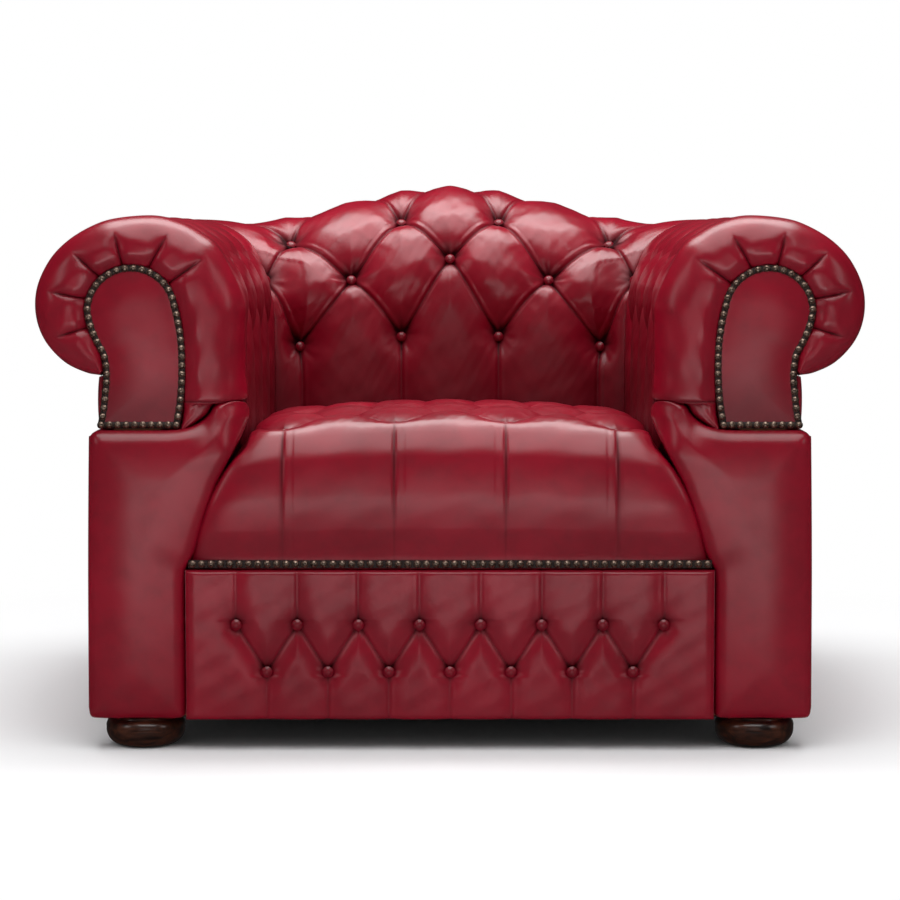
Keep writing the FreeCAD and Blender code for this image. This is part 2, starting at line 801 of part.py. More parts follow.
bound_box("seat_front_rail", ("-sizes.front_rail_half", FRAME_FRONT, RAIL_BOTTOM),
          ("sizes.front_rail_half", RAIL_REAR, RAIL_TOP))
bound_box("seat_back_rail", ("-sizes.rear_rail_half", REAR_RAIL_FRONT, RAIL_BOTTOM),
          ("sizes.rear_rail_half", "sizes.rear_rail_front + sizes.rail_thickness", RAIL_TOP))
mirrored_box("seat_side_rail", ("sizes.side_rail_inside", RAIL_REAR, RAIL_BOTTOM),
             ("sizes.side_rail_inside + sizes.side_rail_thickness", REAR_RAIL_FRONT, RAIL_TOP))
mirrored_box("arm_tack_rail",
             ("sizes.board_inside", "-sizes.arm_frame_front", "sizes.tack_rail_bottom"),
             ("sizes.board_inside + sizes.tack_rail_thickness", ARM_FRAME_END,
              "sizes.tack_rail_top"))
bound_box("back_tack_rail",
          ("-sizes.board_inside + 1", "sizes.arm_frame_end + 0.5", "sizes.tack_rail_bottom"),
          ("sizes.board_inside - 1", "sizes.arm_frame_end + 0.5 + sizes.tack_rail_thickness",
           "sizes.tack_rail_top"))
mirrored_box("arm_board",
             ("sizes.board_inside", "-sizes.arm_board_front", BOARD_BOTTOM),
             ("sizes.board_outside", ARM_FRAME_END, BOARD_TOP))
bound_box("back_board",
          ("-sizes.board_outside", "sizes.arm_frame_end + 0.5", BOARD_BOTTOM),
          ("sizes.board_outside", BOARD_REAR, BOARD_TOP))
bound_box("back_upright", ("-sizes.upright_half", REAR_RAIL_FRONT, RAIL_TOP),
          ("sizes.upright_half", "sizes.rear_rail_front + sizes.side_rail_thickness",
           BOARD_BOTTOM))
mirrored_box("outside_arm_rail",
             ("sizes.base_rail_inside", "-sizes.arm_frame_front", RAIL_BOTTOM),
             ("sizes.panel_outside - sizes.panel_thickness - 0.5",
              "sizes.panel_outside - sizes.rear_offset - 10", "sizes.base_rail_top"))


FOOT_CORNERS = {
    "front_right": (1, -1),
    "front_left": (-1, -1),
    "rear_right": (1, 1),
    "rear_left": (-1, 1),
}


def foot_place(corner):
    """Expressions for the middle of a foot."""
    across, along = FOOT_CORNERS[corner]
    return ("sizes.foot_reach" if across > 0 else "-sizes.foot_reach",
            "sizes.foot_rear" if along > 0 else "-sizes.foot_front")


def foot_point(corner, z):
    across, along = FOOT_CORNERS[corner]
    return Vector(across * size("foot_reach"), size("foot_rear") if along > 0
                  else -size("foot_front"), z)


def drilled_post(label, corner, front, rear, inset, top):
    """A post over a foot, with a hole up from below for the foot's bolt."""
    across = FOOT_CORNERS[corner][0]
    inner, outer = f"sizes.post_inside + {inset}", "sizes.post_outside"
    if across < 0:
        inner, outer = f"-({outer})", f"-({inner})"
    post = bound_box(label + "_block", (inner, front, RAIL_BOTTOM), (outer, rear, top),
                     hidden=True)
    hole = doc.addObject("Part::Cylinder", label + "_hole")
    hole.setExpression("Radius", "sizes.bolt_radius + 0.2")
    hole.setExpression("Height", "sizes.bolt_hole_depth")
    for axis, expression in zip("xy", foot_place(corner)):
        hole.setExpression(f"Placement.Base.{axis}", expression)
    hole.setExpression("Placement.Base.z", "sizes.rail_bottom - 1")
    cut = doc.addObject("Part::Cut", label)
    cut.Base = post
    cut.Tool = hole
    keep(cut, label)


for corner in ("front_right", "front_left"):
    drilled_post(f"arm_post_{corner}", corner, FRAME_FRONT,
                 "-sizes.frame_front + sizes.post_depth", 0, "sizes.pad_top")
for corner in ("rear_right", "rear_left"):
    drilled_post(f"back_post_{corner}", corner, "sizes.rear_post_front",
                 "sizes.rear_post_front + sizes.rear_post_depth", 4, BOARD_BOTTOM)


BLOCK_LEG = 62.0
BLOCK_BOTTOM = 60.0
BLOCK_HEIGHT = 130.0


def corner_blocks():
    """Four three-cornered blocks glued into the corners of the seat frame."""
    front = size("rail_thickness") - size("frame_front")
    side = size("side_rail_inside")
    blocks = []
    for across in (-1, 1):
        for y, inward in ((front, 1), (size("rear_rail_front"), -1)):
            corners = [Vector(across * side, y, BLOCK_BOTTOM),
                       Vector(across * (side - BLOCK_LEG), y, BLOCK_BOTTOM),
                       Vector(across * side, y + inward * BLOCK_LEG, BLOCK_BOTTOM)]
            face = Part.Face(wire_through(corners, [None] * 3))
            blocks.append(face.extrude(Vector(0, 0, BLOCK_HEIGHT)))
    return Part.makeCompound(blocks)


keep_shape("corner_blocks", corner_blocks())


# Springs and webbing

SPRING_WIRE = 1.8
SPRING_HALF_WIDTH = 24.0
SPRING_TURN = 11.6
SPRING_BENDS = 31
SPRING_FRONT = -406.0
SPRING_HEIGHT = 242.0
SPRING_PLACES = (-225, -135, -45, 45, 135, 225)
CLIP_SIZE = 24.0, 20.0, 3.8
CLIP_PLACES = (-416.0, 305.0)
WEB_WIDTH = 50.0
WEB_THICKNESS = 1.2
WEB_STEP = 120.0
WEB_COUNT = 5
ARM_WEB_START = -350.0
BACK_WEB_START = -265.0
WEB_BOTTOM = 345.0
WEB_TOP = 518.0


def serpentine_spring():
    """Zigzag wire from front rail to back rail: straight runs joined by quarter arcs."""
    edges = []
    run = SPRING_HALF_WIDTH - SPRING_TURN
    for bend in range(SPRING_BENDS):
        side = 1 if bend % 2 == 0 else -1
        y = SPRING_FRONT + bend * 2 * SPRING_TURN
        edges.append(Part.makeLine(Vector(-side * run, y, 0), Vector(side * run, y, 0)))
        middle = Vector(side * (run + SPRING_TURN), y + SPRING_TURN, 0)
        bow = SPRING_TURN * math.sqrt(0.5)
        centre = Vector(side * run, y + SPRING_TURN, 0)
        end = Vector(side * run, y + 2 * SPRING_TURN, 0)
        edges.append(Part.Arc(edges[-1].Vertexes[1].Point, centre + Vector(side * bow, -bow, 0),
                              middle).toShape())
        edges.append(Part.Arc(middle, centre + Vector(side * bow, bow, 0), end).toShape())
    side = 1 if SPRING_BENDS % 2 == 0 else -1
    last = edges[-1].Vertexes[1].Point
    edges.append(Part.makeLine(last, Vector(side * run, last.y, 0)))
    start = edges[0].Vertexes[0].Point
    section = Part.Wire([Part.makeCircle(SPRING_WIRE, start, Vector(1, 0, 0))])
    return Part.Wire(edges).makePipeShell([section], True, False)


def seat_springs():
    spring = serpentine_spring()
    springs = []
    for x in SPRING_PLACES:
        copy = spring.copy()
        copy.translate(Vector(x, 0, SPRING_HEIGHT))
        springs.append(copy)
    return Part.makeCompound(springs)


def spring_clips():
    """Folded steel clips that hold the springs on the rails."""
    wide, deep, thick = CLIP_SIZE
    return Part.makeCompound([
        Part.makeBox(wide, deep, thick, Vector(x - wide / 2, y, size("seat_rail_height")))
        for x in SPRING_PLACES for y in CLIP_PLACES])


def webbing(first, wall, along_x):
    """Upright strips a step apart, standing against the front of their rails."""
    height = WEB_TOP - WEB_BOTTOM
    strips = []
    for number in range(WEB_COUNT):
        start = first + number * WEB_STEP
        if along_x:
            box = Part.makeBox(WEB_WIDTH, WEB_THICKNESS, height, Vector(start, wall, WEB_BOTTOM))
        else:
            box = Part.makeBox(WEB_THICKNESS, WEB_WIDTH, height, Vector(wall, start, WEB_BOTTOM))
        strips.append(box)
    return Part.makeCompound(strips)


keep_shape("seat_springs", seat_springs())
keep_shape("spring_clips", spring_clips())
keep_pair("arm_webbing", webbing(ARM_WEB_START, size("board_inside") - 1.4, False))
keep_shape("back_webbing", webbing(BACK_WEB_START, size("arm_frame_end") - 0.9, True))


# Seat stuffing on its hessian

bound_box("seat_hessian",
          ("-sizes.hessian_half", "-sizes.frame_front + 19", "sizes.hessian_height"),
          ("sizes.hessian_half", REAR_RAIL_FRONT,
           "sizes.hessian_height + sizes.hessian_thickness"))


SEAT_STUFFING_HALF = 245.0


def seat_stuffing():
    """A block with a rounded front edge and a crown that fills the seat cover."""
    low = size("hessian_height") + 2
    gap = 0.8
    wires = []
    for share in (-1, -0.82, -0.49, 0, 0.49, 0.82, 1):
        x = share * SEAT_STUFFING_HALF
        fall = seat_fall(x)
        nose, front, foot = SEAT_INSIDE[:3]
        rear_z = seat_top(SEAT_REAR) - fall - size("cover_thickness") - gap
        corners = [Vector(x, nose[0] + gap, nose[1] - fall - 2 * gap),
                   Vector(x, front[0] + 2 * gap, front[1] - fall - gap),
                   Vector(x, foot[0] + gap, foot[1] - fall), Vector(x, foot[0] + gap, low),
                   Vector(x, SEAT_REAR - 0.5, low), Vector(x, SEAT_REAR - 0.5, rear_z)]
        wires.append(wire_through(corners, [None] * len(corners)))
    return solid_loft(wires)


keep_shape("seat_stuffing", seat_stuffing())

# Cloth under the seat, with a hole round each foot

bound_box("dust_cloth",
          ("-sizes.cloth_half", FRAME_FRONT, "sizes.rail_bottom - 0.4 - sizes.cloth_thickness"),
          ("sizes.cloth_half", "sizes.cloth_rear", "sizes.rail_bottom - 0.4"), hidden=True)
foot_holes = doc.addObject("Part::Compound", "foot_holes")
CLOTH_HOLE_RADIUS = 25.0
holes = []
for corner in FOOT_CORNERS:
    hole = doc.addObject("Part::Cylinder", f"cloth_hole_{corner}")
    hole.Radius = CLOTH_HOLE_RADIUS
    hole.Placement.Base = foot_point(corner, 35)
    holes.append(hole)
foot_holes.Links = holes
dust_cover = doc.addObject("Part::Cut", "dust_cover")
dust_cover.Base = doc.getObject("dust_cloth")
dust_cover.Tool = foot_holes
keep(dust_cover, "dust_cover")


# Turned bun feet and their bolts

FLAT_RADIUS = 34.0
BELLY_HEIGHT = 24.0
SHOULDER_HEIGHT = 37.0
SPIGOT_RADIUS = 24.0
BORE_BOTTOM = 14.0
BOLT_LENGTH = 84.0


def bun_foot(corner):
    """A turned foot: half its section, with the hole for the bolt, spun about Z."""
    label = f"foot_{corner}"
    body = doc.addObject("PartDesign::Body", label)
    sketch = sketch_on(body, label + "_section", "XZ_Plane", "0")
    wide, high = size("foot_width") / 2, size("foot_height")
    bore, top = size("bolt_radius") + 0.2, size("rail_bottom")
    points = [Vector(0, 0, 0), Vector(FLAT_RADIUS, 0, 0), Vector(wide, BELLY_HEIGHT, 0),
              Vector(wide - 8, SHOULDER_HEIGHT, 0), Vector(wide - 9, high, 0),
              Vector(SPIGOT_RADIUS, high, 0), Vector(SPIGOT_RADIUS, top, 0),
              Vector(bore, top, 0), Vector(bore, BORE_BOTTOM, 0), Vector(0, BORE_BOTTOM, 0)]
    vias = {1: Vector(wide - 5.5, 7, 0), 2: Vector(wide - 1.5, 32, 0)}
    for number, start in enumerate(points):
        end = points[(number + 1) % len(points)]
        if number in vias:
            sketch.addGeometry(Part.Arc(start, vias[number], end), False)
        else:
            sketch.addGeometry(Part.LineSegment(start, end), False)
    turning = body.newObject("PartDesign::Revolution", label + "_turning")
    turning.Profile = sketch
    turning.ReferenceAxis = (sketch, ["V_Axis"])
    turning.Angle = 360
    body.Placement = Placement(foot_point(corner, 0), Rotation())
    keep(body, label)


for corner in FOOT_CORNERS:
    bun_foot(corner)
keep_shape("foot_bolts", Part.makeCompound([
    Part.makeCylinder(size("bolt_radius"), BOLT_LENGTH, foot_point(corner, BORE_BOTTOM + 1))
    for corner in FOOT_CORNERS]))


# Nail strip under the seat

bound_box("nail_strip", ("-sizes.strip_half", "-sizes.strip_front", "sizes.strip_bottom"),
          ("sizes.strip_half", "-sizes.strip_front + sizes.strip_thickness", "sizes.strip_top"))
FRONT_NAILS = 56
FRONT_NAIL_PITCH = 12.35


def front_nails():
    """One row of nails along the middle of the strip."""
    first = -(FRONT_NAILS - 1) * FRONT_NAIL_PITCH / 2
    height = (size("strip_bottom") + size("strip_top")) / 2
    return Part.makeCompound([
        nail_head(Vector(first + number * FRONT_NAIL_PITCH, -size("strip_front"), height))
        for number in range(FRONT_NAILS)])


keep_shape("front_nails", front_nails())


# Leather-covered buttons, sunk in the tufting

BUTTON_FOOT = 6.6
BUTTON_RISE = 3.9
BUTTON_LIFT = 1.5


def seated(sunk, normal):
    """A button just clear of the bottom of its tuft."""
    return domed(size("button_radius"), BUTTON_FOOT, BUTTON_RISE,
                 sunk + normal * BUTTON_LIFT, normal)


def tuft_button(place, column, row):
    """A button on arm or back: place(s, z, turn) as for the cover."""
    turn = between(ROW_TURN, row)
    (s, z), (across, up) = roll_section(turn)
    depth = size("tuft_depth")
    sunk = place(s - across * depth, z - up * depth, turn)
    normal = (place(s, z, turn) - sunk).normalize()
    return seated(sunk, normal)


def columns_of(row, columns):
    return [column for column in columns if (column + row) % 2 == 0]


keep_pair("arm_buttons", Part.makeCompound([
    tuft_button(arm_place(column, 0), column, row)
    for row in (1, 2, 3, 4) for column in columns_of(row, range(1, 8))]))
keep_shape("back_buttons", Part.makeCompound([
    tuft_button(back_place(column), column, row)
    for row in (1, 2, 3, 4) for column in columns_of(row, range(-3, 4))]))


def seat_button(column, row):
    x = column * size("seat_pitch")
    y = SEAT_FIRST_ROW_Y + SEAT_ROW_STEP * (row - 1)
    z = seat_top(y) - seat_fall(x) - size("seat_tuft_depth")
    return seated(Vector(x, y, z), Vector(0, 0, 1))


keep_shape("seat_buttons", Part.makeCompound([
    seat_button(column, row) for row in range(1, SEAT_LAST_ROW + 1)
    for column in columns_of(row, range(-3, 4))]))


def border_button(column, z):
    y = BORDER_FRONT + size("border_depth")
    return seated(Vector(column * size("border_pitch"), y, z), TOWARDS_FRONT)


keep_shape("border_buttons", Part.makeCompound(
    [border_button(column, BORDER_ROWS[2]) for column in range(-6, 7, 2)] +
    [border_button(column, BORDER_ROWS[4]) for column in range(-7, 8, 2)]))


# Checking and writing

doc.recompute()
for item in doc.Objects:
    if "Invalid" in item.State or "Error" in item.State:
        raise RuntimeError(f"{item.Label} is {item.State}")
for piece in pieces:
    if piece.Shape.isNull() or not piece.Shape.isValid():
        raise RuntimeError(f"{piece.Label} has no valid shape")
os.makedirs("parts", exist_ok=True)
for piece in pieces:
    piece.Shape.exportStep(f"parts/{piece.Label}.step")
    print(piece.Label, round(piece.Shape.Volume / 1000, 1), "cm3", len(piece.Shape.Solids))
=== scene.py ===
import math

import bmesh
import bpy
import numpy as np
from mathutils.geometry import delaunay_2d_cdt
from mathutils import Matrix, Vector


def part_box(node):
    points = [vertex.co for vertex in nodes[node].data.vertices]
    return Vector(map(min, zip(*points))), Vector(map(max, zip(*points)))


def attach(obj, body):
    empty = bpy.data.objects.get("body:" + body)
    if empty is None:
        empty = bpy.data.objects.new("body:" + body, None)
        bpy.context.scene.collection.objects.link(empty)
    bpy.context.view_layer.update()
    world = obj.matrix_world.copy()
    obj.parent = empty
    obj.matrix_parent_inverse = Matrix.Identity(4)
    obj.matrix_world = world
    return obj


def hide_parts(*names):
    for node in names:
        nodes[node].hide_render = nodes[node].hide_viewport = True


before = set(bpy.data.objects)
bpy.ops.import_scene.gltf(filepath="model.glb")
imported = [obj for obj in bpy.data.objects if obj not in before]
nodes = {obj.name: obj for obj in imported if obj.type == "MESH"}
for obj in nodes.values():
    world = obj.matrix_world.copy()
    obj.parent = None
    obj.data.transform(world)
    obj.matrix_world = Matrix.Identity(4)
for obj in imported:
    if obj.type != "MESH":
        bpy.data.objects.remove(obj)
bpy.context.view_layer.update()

# Tufted leather armchair with scroll arms. Lengths are in millimetres until a mesh is made;
# the front faces -Y, +Z is up and the origin is on the floor under the middle of the seat.


# Studio. A pale floor, three large soft lights overhead, weaker ones at the sides and in front,
# and the camera straight in front, a little above the seat. None of it belongs to the chair.

MM = 0.001
CAMERA_PLACE = (0.0, -3.90, 0.673)
CAMERA_AIM = (0.0, -0.46, 0.3993)
CAMERA_LENS = 105.6
FLOOR_HALF = 30000.0
FLOOR_COLOUR = (0.86, 0.86, 0.87, 1.0)
WHITE = (1.0, 1.0, 1.0, 1.0)
SURROUND_GLOW = 0.30
SURROUND_SHINE = 0.02
# Metres from the chair over which the floor fades to white paper
FLOOR_FADE = (0.60, 1.40)
# The floor's glowing patch, a painted reflection that only reflections see: where it starts
# and ends in front of the chair, how far it reaches to the sides, how much wider it gets with
# distance, the share left at its far end and along its middle, and its glow where it is
# dimmest and where it is brightest
PATCH_START = (1.4, 2.1)
PATCH_END = (3.2, 5.2)
PATCH_END_SHARE = 0.08
PATCH_SIDE = (0.20, 0.45)
PATCH_WIDENING = 0.25
PATCH_MIDDLE = (0.15, 0.60)
PATCH_MIDDLE_SHARE = 0.75
PATCH_STRENGTH = (0.02, 3.2)
SOFT_LIGHTS = {
    "overhead": dict(place=(0.0, -0.55, 2.6), aim=(0.0, -0.05, 0.3), size=(2.4, 1.6), power=40),
    "over_rear": dict(place=(0.0, 0.35, 2.4), aim=(0.0, 0.0, 0.4), size=(2.4, 1.0), power=46),
    "over_front": dict(place=(0.0, -2.0, 2.6), aim=(0.0, -0.2, 0.4), size=(2.4, 1.0), power=20),
    "front": dict(place=(0.0, -4.7, 0.80), aim=(0.0, 0.0, 0.45), size=(2.2, 0.6), power=4),
    "left": dict(place=(-3.0, -2.2, 1.9), aim=(0.0, 0.0, 0.3), size=(1.0, 1.6), power=8),
    "right": dict(place=(3.0, -2.2, 1.9), aim=(0.0, 0.0, 0.3), size=(1.0, 1.6), power=8),
}


def look_at(thing, place, aim):
    """Stands a light or camera at a place, turned so that its -Z points at the aim."""
    thing.location = place
    thing.rotation_mode = "QUATERNION"
    thing.rotation_quaternion = Vector(np.subtract(aim, place)).to_track_quat("-Z", "Y")
    bpy.context.scene.collection.objects.link(thing)


camera = bpy.data.objects.new("camera", bpy.data.cameras.new("camera"))
camera.data.lens = CAMERA_LENS
look_at(camera, CAMERA_PLACE, CAMERA_AIM)
bpy.context.scene.camera = camera

for light_name, light in SOFT_LIGHTS.items():
    lamp = bpy.data.lights.new(light_name, "AREA")
    lamp.shape = "RECTANGLE"
    lamp.size, lamp.size_y = light["size"]
    lamp.energy = light["power"]
    lamp_object = bpy.data.objects.new(light_name, lamp)
    look_at(lamp_object, light["place"], light["aim"])
    lamp_object.visible_camera = False

bpy.context.scene.view_settings.view_transform = "Standard"


def make_object(name, points, faces):
    """A smoothly shaded mesh object from points in millimetres and a list of faces."""
    mesh = bpy.data.meshes.new(name)
    mesh.from_pydata((np.asarray(points, float) * MM).tolist(), [], faces)
    mesh.update()
    mesh.shade_smooth()
    made = bpy.data.objects.new(name, mesh)
    bpy.context.scene.collection.objects.link(made)
    return made


def new_finish(name):
    """A node material: returns it with its tree and its Principled shader."""
    finish = bpy.data.materials.new(name)
    finish.use_nodes = True
    return finish, finish.node_tree, finish.node_tree.nodes["Principled BSDF"]


def feed(tree, socket, value):
    """Links another node's output to an input, or sets a plain value on it."""
    if isinstance(value, bpy.types.NodeSocket):
        tree.links.new(value, socket)
    else:
        socket.default_value = value


def put(tree, kind, settings=(), **sockets):
    """Adds a shader node with its settings and fed inputs. Underscores in an input's name
    stand for spaces."""
    made = tree.nodes.new("ShaderNode" + kind)
    for key, value in dict(settings).items():
        setattr(made, key, value)
    for key, value in sockets.items():
        feed(tree, made.inputs[key.replace("_", " ")], value)
    return made


def blend(tree, share, first, second):
    """The colour between two others, by a share held between 0 and 1."""
    made = put(tree, "Mix", {"data_type": "RGBA", "clamp_factor": True})
    for socket, value in zip((made.inputs[0], made.inputs[6], made.inputs[7]),
                             (share, first, second)):
        feed(tree, socket, value)
    return made.outputs[2]


def grade(tree, value, low, high, to_low=0.0, to_high=1.0):
    """A value stretched from low..high to to_low..to_high and held there."""
    made = put(tree, "MapRange", Value=value, From_Min=low, From_Max=high, To_Min=to_low,
               To_Max=to_high)
    return made.outputs["Result"]


def maths(tree, operation, *values):
    """The result of one operation on one, two or three values."""
    made = put(tree, "Math", {"operation": operation})
    for socket, value in zip(made.inputs, values):
        feed(tree, socket, value)
    return made.outputs[0]


# White paper all round, which the leather hardly mirrors
world = bpy.data.worlds.new("studio")
world.use_nodes = True
bpy.context.scene.world = world
surround = world.node_tree
rays = put(surround, "LightPath").outputs
seen = maths(surround, "MULTIPLY", rays["Is Camera Ray"], 1 - SURROUND_GLOW)
shine = maths(surround, "MULTIPLY", rays["Is Glossy Ray"], SURROUND_GLOW - SURROUND_SHINE)
strength = maths(surround, "ADD", maths(surround, "SUBTRACT", seen, shine), SURROUND_GLOW)
surround.links.new(strength, surround.nodes["Background"].inputs["Strength"])
surround.nodes["Background"].inputs["Color"].default_value = WHITE

floor = make_object("floor", [(-FLOOR_HALF, -FLOOR_HALF, 0), (FLOOR_HALF, -FLOOR_HALF, 0),
                              (FLOOR_HALF, FLOOR_HALF, 0), (-FLOOR_HALF, FLOOR_HALF, 0)],
                    [(0, 1, 2, 3)])
floor_paint, floor_tree, floor_shader = new_finish("floor_paint")
floor_shader.inputs["Base Color"].default_value = FLOOR_COLOUR
floor_shader.inputs["Roughness"].default_value = 0.9
floor_shader.inputs["Specular IOR Level"].default_value = 0.1
# The camera sees the floor fade to white paper. In reflections it is a painted glow, bright
# only in a patch in front of the chair.
floor_place = put(floor_tree, "TexCoord").outputs["Object"]
floor_axes = put(floor_tree, "SeparateXYZ", Vector=floor_place).outputs
away = put(floor_tree, "VectorMath", {"operation": "LENGTH"}, Vector=floor_place).outputs["Value"]
far_glow = put(floor_tree, "Emission", Color=WHITE, Strength=1.0)
by_ray = put(floor_tree, "LightPath").outputs
blank = put(floor_tree, "MixShader", Fac=maths(
    floor_tree, "MULTIPLY", by_ray["Is Camera Ray"], grade(floor_tree, away, *FLOOR_FADE)))
in_front = maths(floor_tree, "MULTIPLY", floor_axes[1], -1.0)
aside = maths(floor_tree, "ABSOLUTE", floor_axes[0])
widening = maths(floor_tree, "MULTIPLY", in_front, PATCH_WIDENING)
reach = maths(floor_tree, "SUBTRACT", aside, widening)
patch_glow = maths(floor_tree, "MULTIPLY", grade(floor_tree, reach, *PATCH_SIDE, 1.0, 0.0),
            grade(floor_tree, in_front, *PATCH_START))
for edge in (grade(floor_tree, in_front, *PATCH_END, 1.0, PATCH_END_SHARE),
             grade(floor_tree, aside, *PATCH_MIDDLE, PATCH_MIDDLE_SHARE, 1.0)):
    patch_glow = maths(floor_tree, "MULTIPLY", patch_glow, edge)
# Painted reflection: the floor glows in a patch in front of the chair, for glossy rays only
painted_reflection = put(floor_tree, "Emission",
               Strength=grade(floor_tree, patch_glow, 0.0, 1.0, *PATCH_STRENGTH))
shown = put(floor_tree, "MixShader", Fac=by_ray["Is Glossy Ray"])
for source, sink in ((floor_shader.outputs[0], blank.inputs[1]),
                     (far_glow.outputs[0], blank.inputs[2]),
                     (blank.outputs[0], shown.inputs[1]),
                     (painted_reflection.outputs[0], shown.inputs[2]),
                     (shown.outputs[0], floor_tree.nodes["Material Output"].inputs["Surface"])):
    floor_tree.links.new(source, sink)
floor.data.materials.append(floor_paint)


# Frame. Sawn beech rails, posts and boards, screwed and glued, all of it inside the
# upholstery. The straight grain runs along each piece's longest side.

BEECH_PALE = (0.50, 0.31, 0.17, 1.0)
BEECH_DARK = (0.36, 0.19, 0.09, 1.0)
BEECH_STRETCH = 0.06
BEECH_NODES = [name for name in nodes if any(word in name for word in
               ("rail", "post", "board", "upright", "blocks"))]


def beech(axis):
    """Beech with its grain along the given axis: coarse and fine noise drawn out that way."""
    finish, tree, shader = new_finish("beech_" + "xyz"[axis])
    stretch = [1.0, 1.0, 1.0]
    stretch[axis] = BEECH_STRETCH
    place = put(tree, "TexCoord").outputs["Object"]
    drawn = put(tree, "Mapping", Vector=place, Scale=stretch).outputs["Vector"]
    grain = put(tree, "TexNoise", Vector=drawn, Scale=140.0, Detail=5.0).outputs[0]
    flecks = put(tree, "TexNoise", Vector=drawn, Scale=620.0, Detail=2.0).outputs[0]
    share = maths(tree, "MULTIPLY_ADD", flecks, 0.35, grain)
    colour = blend(tree, grade(tree, share, 0.45, 0.95), BEECH_PALE, BEECH_DARK)
    tree.links.new(colour, shader.inputs["Base Color"])
    bump = put(tree, "Bump", Height=share, Strength=0.25, Distance=0.0006)
    tree.links.new(bump.outputs["Normal"], shader.inputs["Normal"])
    shader.inputs["Roughness"].default_value = 0.62
    return finish


def refinish(node_names, finish):
    """Gives nodes of the frame another finish in their first material slot."""
    for node_name in node_names:
        slots = nodes[node_name].data.materials
        if len(slots):
            slots[0] = finish
        else:
            slots.append(finish)


beech_finishes = [beech(axis) for axis in range(3)]
for node_name in BEECH_NODES:
    low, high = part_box(node_name)
    extent = [high[axis] - low[axis] for axis in range(3)]
    refinish([node_name], beech_finishes[extent.index(max(extent))])


# Springs and bolts. Serpentine springs of bright drawn wire, held by folded clips, and the
# bolts that hold the feet.

STEEL_GREY = (0.42, 0.42, 0.44, 1.0)

steel, steel_tree, steel_shader = new_finish("spring_steel")
steel_shader.inputs["Metallic"].default_value = 1.0
steel_shader.inputs["Base Color"].default_value = STEEL_GREY
steel_place = put(steel_tree, "TexCoord").outputs["Object"]
steel_dull = put(steel_tree, "TexNoise", Vector=steel_place, Scale=180.0, Detail=3.0).outputs[0]
steel_tree.links.new(grade(steel_tree, steel_dull, 0.3, 0.7, 0.28, 0.5),
                     steel_shader.inputs["Roughness"])
refinish(["seat_springs", "spring_clips", "foot_bolts"], steel)


# Webbing and hessian. Strips of woven jute behind the arms and back, and a square of hessian
# over the springs, both plain weave.

JUTE_PALE = (0.42, 0.30, 0.17, 1.0)
JUTE_DARK = (0.20, 0.12, 0.06, 1.0)
JUTE_THREADS = 420.0
HESSIAN_PALE = (0.36, 0.26, 0.15, 1.0)
HESSIAN_DARK = (0.15, 0.10, 0.05, 1.0)
HESSIAN_THREADS = 640.0


def woven(name, pale, dark, threads):
    """Plain weave: the product of two sine waves at right angles, with so many threads to the
    metre, so that one set passes over the other in turn."""
    finish, tree, shader = new_finish(name)
    place = put(tree, "TexCoord").outputs["Object"]
    axes = put(tree, "SeparateXYZ", Vector=place).outputs
    across = maths(tree, "ADD", axes[0], axes[1])
    along = maths(tree, "ADD", axes[1], axes[2])
    waves = [maths(tree, "SINE", maths(tree, "MULTIPLY", way, threads * math.pi))
             for way in (across, along)]
    weave = maths(tree, "MULTIPLY", *waves)
    slub = put(tree, "TexNoise", Vector=place, Scale=60.0, Detail=4.0).outputs[0]
    shade = maths(tree, "ADD", weave, maths(tree, "MULTIPLY", slub, 1.5))
    tree.links.new(blend(tree, grade(tree, shade, -0.4, 1.6), dark, pale),
                   shader.inputs["Base Color"])
    bump = put(tree, "Bump", Height=weave, Strength=0.5, Distance=0.0008)
    tree.links.new(bump.outputs["Normal"], shader.inputs["Normal"])
    shader.inputs["Roughness"].default_value = 0.9
    return finish


jute = woven("jute_webbing", JUTE_PALE, JUTE_DARK, JUTE_THREADS)
hessian = woven("hessian", HESSIAN_PALE, HESSIAN_DARK, HESSIAN_THREADS)
refinish(["arm_webbing_right", "arm_webbing_left", "back_webbing"], jute)
refinish(["seat_hessian"], hessian)


# Leather. Full-grain hide, dyed crimson and waxed, its tone cloudy at random over a pebbled
# grain. The fold attribute darkens it towards near black and dulls its shine: that is painted
# shade along the creases, round the pits, above the buttons, towards the tuck and at the foot
# of each facing, and in the creases partly a darker ground that the dye leaves. Used on every
# cover.

HIDE_BRIGHT = (0.250, 0.0010, 0.0130, 1.0)
HIDE_MID = (0.195, 0.0008, 0.0100, 1.0)
HIDE_DARK = (0.080, 0.0005, 0.0045, 1.0)
# Near black that the painted shade darkens the hide towards
HIDE_SHADED = (0.022, 0.0003, 0.0016, 1.0)
HIDE_DULL = (0.28, 0.31)
HIDE_SHINE = 0.55
# How far the painted shade roughens the hide and dims its shine
SHADE_DULL = 0.25
SHADE_SHINE = 0.08
# Buttons are darker: partly their own deeper dye, partly painted shade of the pits they sit in
BUTTON_DYE_AND_SHADE = 0.30


